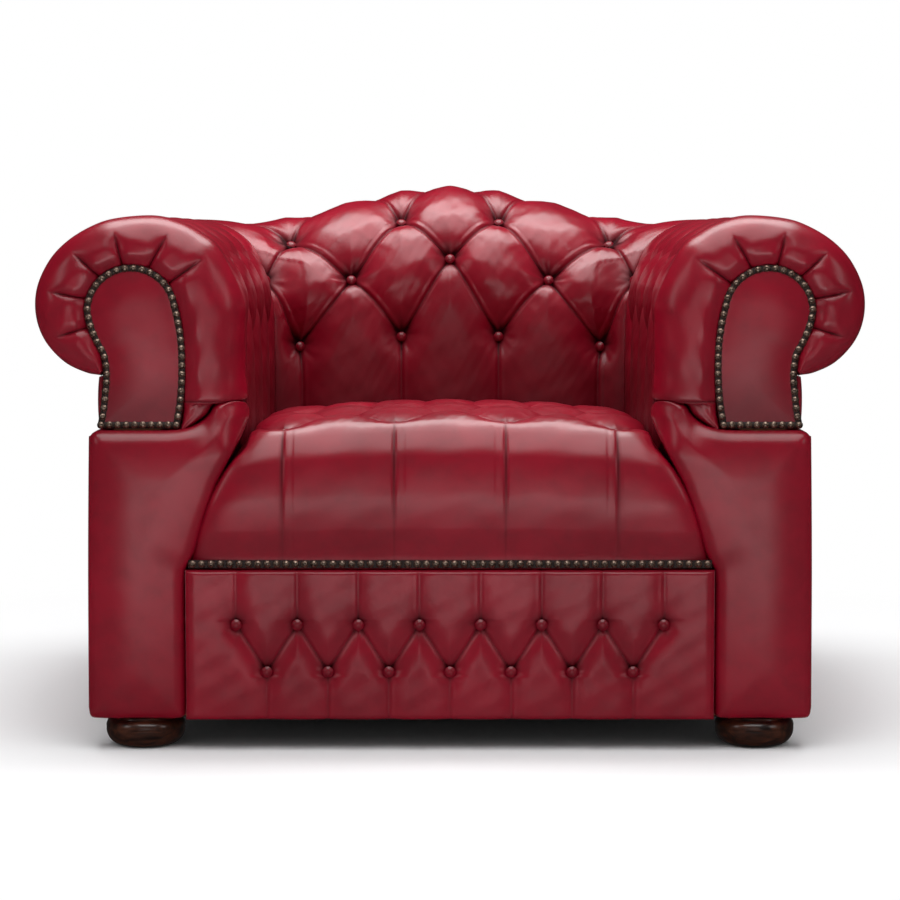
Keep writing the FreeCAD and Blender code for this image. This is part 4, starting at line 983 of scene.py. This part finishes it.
def arc_through(start, via, end, count):
    """Points of the circular arc from start through via towards end, without its end."""
    (ax, ay), (bx, by), (cx, cy) = start, via, end
    double = 2 * (ax * (by - cy) + bx * (cy - ay) + cx * (ay - by))
    squares = ax * ax + ay * ay, bx * bx + by * by, cx * cx + cy * cy
    centre_x = (squares[0] * (by - cy) + squares[1] * (cy - ay) + squares[2] * (ay - by)) / double
    centre_y = (squares[0] * (cx - bx) + squares[1] * (ax - cx) + squares[2] * (bx - ax)) / double
    radius = math.hypot(ax - centre_x, ay - centre_y)
    first = math.atan2(ay - centre_y, ax - centre_x)
    last = math.atan2(cy - centre_y, cx - centre_x)
    through = math.atan2(by - centre_y, bx - centre_x)
    sweep = (last - first) % (2 * math.pi)
    if (through - first) % (2 * math.pi) > sweep:
        sweep -= 2 * math.pi
    angles = first + sweep * np.arange(count) / count
    return np.stack([centre_x + radius * np.cos(angles), centre_y + radius * np.sin(angles)], -1)


def even_line(points, step):
    """The same line with its points a step apart."""
    lengths = length_along(points)
    at = np.linspace(0, lengths[-1], max(2, round(lengths[-1] / step)) + 1)
    return np.stack([np.interp(at, lengths, points[:, axis]) for axis in (0, 1)], -1)


nail_side = np.concatenate([arc_through(*arc, 24) for arc in NAIL_LINE]
                           + [[NAIL_LINE[-1][2]]])
nail_foot = np.array([NAIL_LINE[-1][2], NAIL_LINE[0][0]])
nail_loop = np.concatenate([even_line(line, NAIL_LINE_STEP)[:-1]
                            for line in (nail_side, nail_foot)])


def moved_out(loop, distance):
    """A closed loop moved outwards along its normals by a distance."""
    along = np.roll(loop, -1, axis=0) - np.roll(loop, 1, axis=0)
    along /= np.hypot(*along.T)[:, None]
    outward = np.stack([-along[:, 1], along[:, 0]], -1)
    return loop + outward * distance


def distance_to(loop, points):
    """Distance from each point to the nearest side of a closed loop."""
    run = np.roll(loop, -1, axis=0) - loop
    length = (run**2).sum(axis=1)
    nearest = np.full(len(points), 1e6)
    for start, along, squared in zip(loop, run, length):
        share = np.clip(((points - start) @ along) / squared, 0, 1)
        nearest = np.minimum(nearest, np.hypot(*(points - start - share[:, None] * along).T))
    return nearest


def make_consistent(piece):
    """Turns all faces of a closed form outwards."""
    work = bmesh.new()
    work.from_mesh(piece.data)
    bmesh.ops.recalc_face_normals(work, faces=work.faces)
    work.to_mesh(piece.data)
    work.free()


def outline_pad(name, loop, back, front_at, step, turn_over, shade_knots=((0, 0), (1, 0))):
    """A pad that fills a closed outline in X and Z. Its face is a net of points a step apart,
    closer along the edge, at the depth that front_at gives for each place and its distance
    from the outline. The sides go straight back and the rear is flat. shade_knots give its
    painted shade by height."""
    low, high = loop.min(axis=0), loop.max(axis=0)
    x, z = np.meshgrid(np.arange(low[0], high[0], step), np.arange(low[1], high[1], step))
    inner = np.stack([x.ravel(), z.ravel()], -1)
    rims = [moved_out(loop, -distance) for distance in PAD_RIMS]
    inner = inner[distance_to(loop, inner) > PAD_NET_START]
    flat = np.concatenate([loop] + rims + [inner])
    edges = [(number, (number + 1) % len(loop)) for number in range(len(loop))]
    net = delaunay_2d_cdt([Vector(point) for point in flat.tolist()], edges, [], 1, 1e-5)
    flat, faces = np.array([tuple(point) for point in net[0]]), [list(face) for face in net[2]]
    place_of = {origin: place for place, origins in enumerate(net[3]) for origin in origins}
    outer = [place_of[number] for number in range(len(loop))]
    front = np.stack([flat[:, 0], front_at(flat, distance_to(loop, flat)), flat[:, 1]], -1)
    behind = front[outer] * (1, 0, 1) + (0, back, 0)
    points = np.concatenate([front, behind])
    rear = list(range(len(front), len(points)))
    walls = np.stack([outer, np.roll(outer, -1), np.roll(rear, -1), rear], -1).tolist()
    pad = make_object(name, points * (turn_over, 1, 1), faces + walls + [rear])
    make_consistent(pad)
    keep_painted_shade(pad, smooth(shade_knots, points[:, 2]))
    return pad


def rounding(distance, width, depth):
    """How far a rounded edge falls back: a quarter ellipse of that width and depth."""
    return depth * (1 - np.sqrt(1 - (1 - np.clip(distance / width, 0, 1))**2))


def facing_depth(flat, edge):
    """A rounded rim, then a dome that rises from the nails to the middle as one less the
    square of the share still to go, and is lower towards the foot."""
    inside = np.clip((edge - DOME_START) / FACING_REACH, 0, 1)
    dome = FACING_DOME * (1 - (1 - inside)**2)
    lower = np.clip((FLATTER_FROM - flat[:, 1]) / FLATTER_OVER, 0, 1)
    dome = dome * (1 - FLATTER_SHARE * lower**1.5)
    uneven = 0.1 * ripple(flat[:, 0], flat[:, 1], 74.0)
    return FACING_FRONT + rounding(edge, FACING_RIM, FACING_RIM) - dome + uneven


facing_loop = moved_out(nail_loop, FACING_MARGIN)
for side, turn_over in SIDES:
    facing = outline_pad(f"arm_facing_{side}", facing_loop, FACING_BACK, facing_depth,
                         FACING_NET, turn_over, FACING_SHADE)
    dress_leather(facing)
    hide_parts(f"arm_facing_panel_{side}")


# Nails. Domed heads of browned brass, driven close together round each facing and along the
# foot of the seat.

BRASS_BRIGHT = (0.36, 0.26, 0.20, 1.0)
BRASS_DARK = (0.060, 0.040, 0.030, 1.0)


def antique_brass():
    """Browned brass: bright where it is rubbed, dark in patches."""
    finish, tree, shader = new_finish("antique_brass")
    place = put(tree, "TexCoord").outputs["Object"]
    patches = put(tree, "TexNoise", Vector=place, Scale=420.0, Detail=4.0).outputs[0]
    tree.links.new(blend(tree, grade(tree, patches, 0.35, 0.62), BRASS_DARK, BRASS_BRIGHT),
                   shader.inputs["Base Color"])
    tree.links.new(grade(tree, patches, 0.3, 0.7, 0.40, 0.28), shader.inputs["Roughness"])
    shader.inputs["Metallic"].default_value = 0.9
    return finish


brass = antique_brass()
refinish(["arm_facing_nails_right", "arm_facing_nails_left", "front_nails"], brass)


# Gimp. Narrow dark braid glued down under the nails, over the edges where two pieces of
# leather meet. Its near black is partly the braid's own colour and partly painted shade round
# the nail heads.

GIMP_AND_SHADE_DARK = (0.012, 0.003, 0.003, 1.0)
GIMP_AND_SHADE_PALE = (0.030, 0.014, 0.010, 1.0)
# Half width of the gimp, and the depths of its back, its outer edge and its inner edge
GIMP_HALF = 4.2
GIMP_BACK = -430.3
GIMP_OUTER = -432.0
GIMP_INNER = -432.3


def gimp_and_shade_finish():
    """Dark braid and painted shade round the nails: fine noise in its colour and relief."""
    finish, tree, shader = new_finish("gimp")
    place = put(tree, "TexCoord").outputs["Object"]
    ribs = put(tree, "TexNoise", Vector=place, Scale=900.0, Detail=2.0).outputs[0]
    tree.links.new(blend(tree, ribs, GIMP_AND_SHADE_DARK, GIMP_AND_SHADE_PALE), shader.inputs["Base Color"])
    bump = put(tree, "Bump", Height=ribs, Strength=0.4, Distance=0.0005)
    tree.links.new(bump.outputs["Normal"], shader.inputs["Normal"])
    shader.inputs["Roughness"].default_value = 0.7
    return finish


gimp = gimp_and_shade_finish()
refinish(["nail_strip"], gimp)
GIMP_SECTION = ((GIMP_HALF, GIMP_BACK), (GIMP_HALF, GIMP_OUTER), (-GIMP_HALF, GIMP_INNER),
                (-GIMP_HALF, GIMP_BACK))
gimp_rings = np.stack([np.insert(moved_out(nail_loop, distance), 1, depth, axis=1)
                       for distance, depth in GIMP_SECTION])
ring_index = np.arange(gimp_rings[..., 0].size).reshape(gimp_rings.shape[:2])
ring_following = np.roll(ring_index, -1, axis=1)
gimp_faces = quad_faces(*gimp_rings.shape[:2], wrap_b=True)
gimp_faces += np.stack([ring_index[-1], ring_index[0], ring_following[0], ring_following[-1]],
                       -1).tolist()
for side, turn_over in SIDES:
    trim = make_object(f"facing_gimp_{side}", gimp_rings.reshape(-1, 3) * (turn_over, 1, 1),
                       gimp_faces)
    face_outwards(trim)
    trim.data.materials.append(gimp)
    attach(trim, "root")


# Seat. A deep stuffed seat, buttoned over its top and pleated down the front, where it swells
# forward and spreads in front of the arms. It is closed underneath on its hessian.

SEAT_PITCH = 73.5
SEAT_HALF = 266.5
SEAT_EDGE = 3.63
SEAT_PIT = 21.0
SEAT_ROUND = 13.0
SEAT_FALL = 17.0
SEAT_FOOT = 241.0
SEAT_TOP = 446.0
SEAT_LAST_ROW = 7
# Outermost column of buttons, and columns beyond it from which the side is rounded
SIDE_COLUMN = 3
ROUND_COLUMN = 3.1
# The middle line from the foot of the front over the top to the rear, as depth and height, and
# the row of buttons that each of its points is on
SEAT_PROFILE = ((-443.5, 241), (-444.5, 256), (-455.5, 297), (-459, 340), (-453, 388),
                (-436, 421), (-417, 437), (-395, 444), (-305, 447.5), (-215, 446),
                (-125, 443.5), (-35, 440), (55, 435), (145, 429), (178.5, 427))
SEAT_ROW_OF_POINT = (-2.3, -2.0, -1.45, -0.9, -0.3, 0.25, 0.6, 1, 2, 3, 4, 5, 6, 7, 7.4)
# Half width of the front by height
SEAT_SPREAD = ((241, 348), (258, 342), (301, 329), (354, 311), (400, 288), (425, 270),
               (446, 266.5))
# By row, how far a place belongs to the front, and how far its pleats are open
ON_FRONT = ((-2.3, 1.0), (0.1, 1.0), (0.85, 0.0), (7.4, 0.0))
PLEAT_OPEN = ((-2.3, 0.1), (-1.2, 0.5), (-0.3, 1.0), (7.4, 1.0))
PLEATS_END = -2.4
FRONT_VALLEY = 1.8
FRONT_VALLEY_WIDTH = 40.0
FRONT_CREASE = 2.2
FRONT_CREASE_WIDTH = 1.3
FRONT_SECOND = 0.8
FRONT_SECOND_PLACE = 12.0
# Depth and height of the plain lines behind and under the seat, and how wide they are
SEAT_UNDER = ((178.5, 300.0), (178.5, 248.5), (-416.0, 241.0))
UNDER_HALF = 262.0
UNDER_ROWS = (9, 10, 11)


def seat_folds(at):
    """The buttons of the top where column and row are odd or even together, and the folds on
    the diagonals between them and out to the sides."""
    buttons, folds = [], []
    for row in range(1, SEAT_LAST_ROW + 1):
        for column in range(-SIDE_COLUMN, SIDE_COLUMN + 1):
            if (column + row) % 2:
                continue
            buttons.append(at(column, row))
            if row < SEAT_LAST_ROW:
                folds += [(at(column, row), at(beside, row + 1))
                          for beside in (column - 1, column + 1)]
            if row > 1 and abs(column) == SIDE_COLUMN:
                folds.append((at(column, row), at(column + np.sign(column), row - 1)))
    return Folds(buttons, folds)


def seat_points():
    """Grid of seat points with its painted shade along folds, round pits and along pleats. The
    middle line is carried out to the sides, falling as it goes by a power of the distance, and
    below the front edge the outer columns spread outwards. The top is tufted, and the front has
    straight pleats."""
    rows = np.linspace(SEAT_ROW_OF_POINT[0], SEAT_ROW_OF_POINT[-1],
                       round((SEAT_ROW_OF_POINT[-1] - SEAT_ROW_OF_POINT[0]) * FINE) + 1)
    line = np.stack([smooth(list(zip(SEAT_ROW_OF_POINT, part)), rows)
                     for part in zip(*SEAT_PROFILE)], -1)
    run = np.gradient(line, axis=0)
    run /= np.hypot(*run.T)[:, None]
    y, z = line.T
    columns = np.linspace(-SEAT_EDGE, SEAT_EDGE, round(2 * SEAT_EDGE * FINE) + 1)
    on_step = np.round(columns * FINE) / FINE
    columns = np.where(np.abs(columns) < SIDE_COLUMN + 0.5, on_step, columns)
    out = np.abs(columns)[:, None]
    beyond = np.clip((out - SIDE_COLUMN) / (SEAT_EDGE - SIDE_COLUMN), 0, 1)
    side_x = SIDE_COLUMN * SEAT_PITCH
    x = np.sign(columns)[:, None] * (np.minimum(out, SIDE_COLUMN) * SEAT_PITCH
                                     + beyond * (smooth(SEAT_SPREAD, z) - side_x))
    arc = length_along(line)
    whole = np.arange(-2, SEAT_LAST_ROW + 2)
    row_arc = tuple(zip(whole.tolist(), np.interp(whole, rows, arc).tolist()))

    def flat(column, row):
        return column * SEAT_PITCH, float(straight(row_arc, row))

    flat_x, flat_y = np.meshgrid(columns * SEAT_PITCH, straight(row_arc, rows), indexing="ij")
    inset, shade = tuft_inset(seat_folds(flat), flat_x, flat_y, SEAT_PIT, valley=12.0,
                              puff=46.0, crease=4.8, funnel=30.0, line=2.8)
    pleats = Folds([], [(flat(column, 1), flat(column, PLEATS_END))
                        for column in range(-SIDE_COLUMN, SIDE_COLUMN + 1, 2)])
    distance = pleats.measure(flat_x, flat_y)[0]
    nearest_pitch = np.round(np.abs(flat_x) / SEAT_PITCH) * SEAT_PITCH
    towards_middle = np.abs(flat_x) < nearest_pitch
    crease = np.exp(-distance / FRONT_CREASE_WIDTH)
    pleat = FRONT_VALLEY * np.clip(1 - distance / FRONT_VALLEY_WIDTH, 0, 1)**2
    pleat += FRONT_CREASE * crease
    second = ((distance - FRONT_SECOND_PLACE) / FRONT_CREASE_WIDTH)**2
    pleat += FRONT_SECOND * np.exp(-second) * towards_middle
    on_front = smooth(ON_FRONT, rows)
    opened = smooth(PLEAT_OPEN, rows)
    front = pleat * opened + 0.3 * ripple(flat_x, flat_y, 97.0)
    inset = inset * (1 - on_front) + front * on_front
    # Painted shade along the front pleats, and the tufts' painted shade on the top
    shade = np.maximum(shade * (1 - on_front), 0.7 * crease * opened * on_front)
    edge = np.clip((out - ROUND_COLUMN) / (SEAT_EDGE - ROUND_COLUMN), 0, 1)
    inset += SEAT_ROUND * (1 - np.sqrt(np.clip(1 - edge**2.6, 0, 1)))
    fall = SEAT_FALL * (np.minimum(np.abs(x), SEAT_HALF) / SEAT_HALF)**2.2
    lowered = SEAT_FOOT + (z - SEAT_FOOT) * (1 - fall / (SEAT_TOP - SEAT_FOOT))
    points = np.stack([x, y + run[:, 1] * inset, lowered - run[:, 0] * inset], -1)
    return points, shade, columns, rows


seat_surface, seat_shade, seat_columns, seat_rows = seat_points()
seat_under = np.stack([
    np.insert(np.clip(seat_surface[:, 0, :1], -UNDER_HALF, UNDER_HALF), [1, 1], line, axis=1)
    for line in SEAT_UNDER], axis=1)
seat = closed_tufts("seat", seat_surface, seat_under, seat_shade, seat_columns,
                    np.append(seat_rows, UNDER_ROWS))
dress_leather(seat)
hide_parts("seat_cover", "seat_stuffing")
refinish(["seat_buttons"], button_leather)


# Front border. A shallow tufted panel under the seat: two rows of buttons joined by folds in
# a zigzag, with straight folds up from the upper row and down from the lower one.

BORDER_PITCH = 40.3
BORDER_HALF = 349.0
BORDER_FRONT = -455.0
BORDER_BACK = -431.5
BORDER_LOW = 40.5
BORDER_HIGH = 239.5
LOWER_BUTTONS = 104.4
UPPER_BUTTONS = 167.0
BORDER_PIT = 13.0
BORDER_VALLEY = 8.6
BORDER_PUFF = 30.0
BORDER_CREASE = 2.4
BORDER_CREASE_WIDTH = 1.3
BORDER_ROLL = 0.7
BORDER_STEP = 2.0
BORDER_LINES = 111
# How far past the panel its straight folds are carried, and where they take over from the
# zigzag, with what share of its valley and crease
PAST_EDGE = 10.0
STRAIGHT_START = 6.0
STRAIGHT_VALLEY = 0.6
STRAIGHT_CREASE = 0.55
# Widths over which the edges at the ends, the foot and the top are rounded, and how deep
END_ROUND = 14.0
FOOT_ROUND = 7.0
TOP_ROUND = 5.0
EDGE_DEPTH = 9.0


def border_points():
    """Grid of border points and its painted shade along folds, round pits and above buttons,
    over x and z, made as the other tufts are but with its own smaller folds."""
    x = np.linspace(-BORDER_HALF, BORDER_HALF, round(2 * BORDER_HALF / BORDER_STEP) + 1)
    z = np.linspace(BORDER_LOW, BORDER_HIGH, BORDER_LINES)
    lower = [(column * BORDER_PITCH, LOWER_BUTTONS) for column in range(-6, 7, 2)]
    upper = [(column * BORDER_PITCH, UPPER_BUTTONS) for column in range(-7, 8, 2)]
    folds = [(button, (button[0], BORDER_LOW - PAST_EDGE)) for button in lower]
    folds += [(button, (button[0], BORDER_HIGH + PAST_EDGE)) for button in upper]
    for low_button in lower:
        folds += [(low_button, high_button) for high_button in upper
                  if abs(low_button[0] - high_button[0]) < 1.1 * BORDER_PITCH]
    flat_x, flat_z = np.meshgrid(x, z, indexing="ij")
    distance, side, reach, bearing, above = Folds(lower + upper, folds).measure(flat_x, flat_z)
    close = np.exp(-reach / 26.0)
    plain = ((flat_z < LOWER_BUTTONS - STRAIGHT_START)
             | (flat_z > UPPER_BUTTONS + STRAIGHT_START))
    strength = np.where(plain, STRAIGHT_CREASE, 1.0) * (0.4 + 0.6 * close)
    valley = BORDER_VALLEY * np.where(plain, STRAIGHT_VALLEY, 1.0)
    inset = valley * np.clip(1 - distance / BORDER_PUFF, 0, 1)**2
    inset += (BORDER_PIT - BORDER_VALLEY) * np.exp(-(reach / 15.0)**1.6)
    inset += BORDER_CREASE * strength * np.exp(-distance / BORDER_CREASE_WIDTH)
    upper_side = np.where(side > 0, 1.0, 0.2)
    inset -= BORDER_ROLL * upper_side * np.exp(-((distance - 3.6) / 2.2)**2)
    inset += 0.35 * np.sin(7 * bearing) * np.exp(-((reach - 12.0) / 6.0)**2)
    inset += 0.4 * ripple(flat_x, flat_z, 67.0)
    # Painted shade along the creases, round each pit and above each button
    shade = 0.7 * strength * np.exp(-distance / 1.4) + 0.7 * np.exp(-(reach / 9.0)**2)
    shade += 0.5 * np.clip(above, 0, 1) * np.exp(-(reach / 15.0)**2)
    edge = np.minimum((BORDER_HALF - np.abs(flat_x)) / END_ROUND,
                      (flat_z - BORDER_LOW) / FOOT_ROUND)
    edge = np.minimum(edge, (BORDER_HIGH - flat_z) / TOP_ROUND)
    inset += rounding(edge, 1.0, EDGE_DEPTH)
    return np.stack([flat_x, BORDER_FRONT + inset, flat_z], -1), np.clip(shade, 0, 1)


border_surface, border_shade = border_points()
border_behind = border_surface[:, [-1, 0]] * (1, 0, 1) + (0, BORDER_BACK, 0)
border = closed_strip("front_border_cover", border_surface, border_behind, border_shade)
dress_leather(border)
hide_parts("front_border")
refinish(["border_buttons"], button_leather)


# Base pads. A thick pad at the foot of each arm, covered in plain leather: rounded along its
# outer side and top, its inner side sweeping up between the facing and the seat to the fold.

# Outline of the right pad: up its outer side, over the top to the fold, down beside the seat
# and back along the foot
PAD_LOOP = ((479, 56), (478, 240), (475.5, 400), (474.5, 412), (470, 420), (460, 423),
            (430, 423), (390, 423), (366, 423.5), (350, 425.5), (336, 430), (324, 438),
            (316, 447), (311, 455), (303, 459.5), (290, 460.5), (278, 460.5), (270, 456),
            (267.5, 440), (282, 402), (306, 355), (325, 302), (339, 259), (349, 240),
            (350, 224), (350, 140), (350, 56), (353, 44), (365, 41), (414, 41), (464, 41),
            (476, 44))
PAD_LOOP_STEP = 3.0
PAD_NET = 4.5
PAD_FRONT = -460.0
PAD_BACK = -396.0
PAD_ROUND = 15.0
PAD_DOME = 8.5
PAD_DOME_START = 6.0
PAD_REACH = 60.0
# Beside the seat, above its widest place, the edge is tighter within this distance
TIGHT_ROUND = 5.0
TIGHT_WIDTH = 30.0
TIGHT_FROM = 224.0
# By height, how far the inner side falls away towards the fold. By distance from the middle,
# how far the fold draws it back.
PAD_RISE = ((0, 0), (385, 0.0), (450, 1.0), (480, 1.0))
FOLD_DRAW = ((250, 12), (318, 12), (352, 0), (480, 0))
# The side next to the seat, as height and distance from the middle
PAD_SEAT_SIDE = ((41, 350), (224, 350), (240, 349), (259, 339), (302, 325), (355, 306),
                 (402, 282), (440, 267.5), (462, 268.5))


def pad_depth(flat, edge):
    """A wide rounding along the edge, then a low dome. Towards the fold under the band the
    inner side falls away as the band does above it."""
    x, z = flat[:, 0], flat[:, 1]
    rise = smooth(PAD_RISE, z)
    inward = x - straight(PAD_SEAT_SIDE, z)
    near = np.clip(1 - inward / TIGHT_WIDTH, 0, 1) * (z > TIGHT_FROM)
    radius = PAD_ROUND * (1 - near) + TIGHT_ROUND * near
    setback = rounding(edge, radius, radius)
    setback = np.maximum(setback, rounding(inward, 15 + 38 * rise, 14 + 28 * rise))
    inside = np.clip((edge - PAD_DOME_START) / PAD_REACH, 0, 1)
    dome = PAD_DOME * (1 - (1 - inside)**2)
    fold = rise * smooth(FOLD_DRAW, x)
    return PAD_FRONT + PAD_DOME + setback - dome + fold + 0.15 * ripple(x, z, 88.0)


pad_loop = even_line(smooth_line(PAD_LOOP + PAD_LOOP[:1], 8), PAD_LOOP_STEP)[:-1][::-1]
for side, turn_over in SIDES:
    pad = outline_pad(f"base_pad_{side}", pad_loop, PAD_BACK, pad_depth, PAD_NET, turn_over)
    dress_leather(pad)
    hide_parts(f"base_front_pad_{side}")


# Outside covers. Plain hide drawn over wadding on the outside of either arm and on the back,
# tacked up under the roll and turned in at the base. Above the base pad a narrow return of
# thinner wadding carries the hide forward round the front post to the facing.

PANEL_OUTSIDE = 466.0
PANEL_FRONT = -394.0
PANEL_THICKNESS = 8.0
PANEL_TOP = 493.4
PANEL_FOOT = 40.5
PANEL_SWELL = 2.5
PANEL_ROUND = 5.0
PANEL_EDGE_ALONG = 0.012
PANEL_EDGE_UP = 0.02
BACK_PANEL_HALF = 457.5
RETURN_FRONT = (462.0, -420.5)
RETURN_REAR = (466.0, -394.5)
RETURN_FOOT = 424.5
RETURN_THICKNESS = 3.0


def outside_panel(name, first, last, foot, top_at, out, thickness=PANEL_THICKNESS):
    """A thin pad standing on edge from first to last, from its foot up to top_at. out is the
    way it faces. Its face swells in the middle by a power of two half sine waves, and falls
    back in a quarter ellipse at its edges."""
    along = np.linspace(0, 1, 81)
    up = np.linspace(0, 1, 51)
    base = np.outer(1 - along, first) + np.outer(along, last)
    top = top_at(base)
    share_a, share_u = np.meshgrid(along, up, indexing="ij")
    edge = np.minimum(np.minimum(share_a, 1 - share_a) / PANEL_EDGE_ALONG,
                      np.minimum(share_u, 1 - share_u) / PANEL_EDGE_UP)
    swell = PANEL_SWELL * (np.sin(np.pi * share_a) * np.sin(np.pi * share_u))**0.6
    swell -= rounding(edge, 1.0, PANEL_ROUND)
    z = foot + (top[:, None] - foot) * share_u
    points = np.stack([base[:, None, 0] + out[0] * swell, base[:, None, 1] + out[1] * swell, z],
                      -1)
    behind = points[:, [-1, 0]]
    behind[..., :2] = base[:, None, :] - np.array(out) * (thickness - 0.5)
    return closed_strip(name, points, behind, np.zeros(points.shape[:2]))


def level_top(base):
    """The same height all along."""
    return np.full(len(base), PANEL_TOP)


def crowned_top(base):
    """A height that rises with the crown of the back."""
    return PANEL_TOP + crown(base[:, 0], 4.0)


panel_rear = PANEL_OUTSIDE - REAR_OFFSET
for side, turn_over in SIDES:
    flip = np.array((turn_over, 1))
    outside_arm = outside_panel(f"outside_arm_{side}", flip * (PANEL_OUTSIDE, PANEL_FRONT),
                                flip * (PANEL_OUTSIDE, panel_rear), PANEL_FOOT, level_top,
                                (turn_over, 0))
    arm_return = outside_panel(f"arm_return_{side}", flip * RETURN_FRONT, flip * RETURN_REAR,
                               RETURN_FOOT, level_top, (turn_over, 0), RETURN_THICKNESS)
    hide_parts(f"outside_arm_cover_{side}")
    for panel in (outside_arm, arm_return):
        dress_leather(panel)
outside_back = outside_panel("outside_back", (-BACK_PANEL_HALF, panel_rear),
                             (BACK_PANEL_HALF, panel_rear), PANEL_FOOT, crowned_top, (0, 1))
dress_leather(outside_back)
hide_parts("outside_back_cover")


# Feet. Turned bun feet in dark polished mahogany, each held by a bolt up into its post.

WOOD_BRIGHT = (0.080, 0.020, 0.007, 1.0)
WOOD_DARK = (0.012, 0.003, 0.0015, 1.0)
GRAIN_STRETCH = (0.18, 1.0, 1.0)


def polished_mahogany():
    """Bent bands of grain, drawn out along X, under a glossy coat."""
    finish, tree, shader = new_finish("mahogany_foot")
    place = put(tree, "TexCoord").outputs["Object"]
    drawn = put(tree, "Mapping", Vector=place, Scale=GRAIN_STRETCH).outputs["Vector"]
    bands = put(tree, "TexNoise", Vector=drawn, Scale=95.0, Detail=6.0, Distortion=1.4)
    pores = put(tree, "TexNoise", Vector=drawn, Scale=700.0, Detail=2.0).outputs[0]
    share = maths(tree, "ADD", bands.outputs[0], maths(tree, "MULTIPLY", pores, 0.18))
    tree.links.new(blend(tree, grade(tree, share, 0.45, 0.78), WOOD_DARK, WOOD_BRIGHT),
                   shader.inputs["Base Color"])
    shader.inputs["Roughness"].default_value = 0.34
    shader.inputs["Coat Weight"].default_value = 0.6
    shader.inputs["Coat Roughness"].default_value = 0.12
    return finish


refinish(["foot_front_right", "foot_front_left", "foot_rear_right", "foot_rear_left"],
         polished_mahogany())


# Dust cover. Fine black cloth stretched under the frame and tacked to its rails, so that no
# dust falls from the seat.

CLOTH_PALE = (0.020, 0.020, 0.021, 1.0)
CLOTH_DARK = (0.006, 0.006, 0.007, 1.0)
CLOTH_THREADS = 900.0

refinish(["dust_cover"], woven("dust_cloth", CLOTH_PALE, CLOTH_DARK, CLOTH_THREADS))
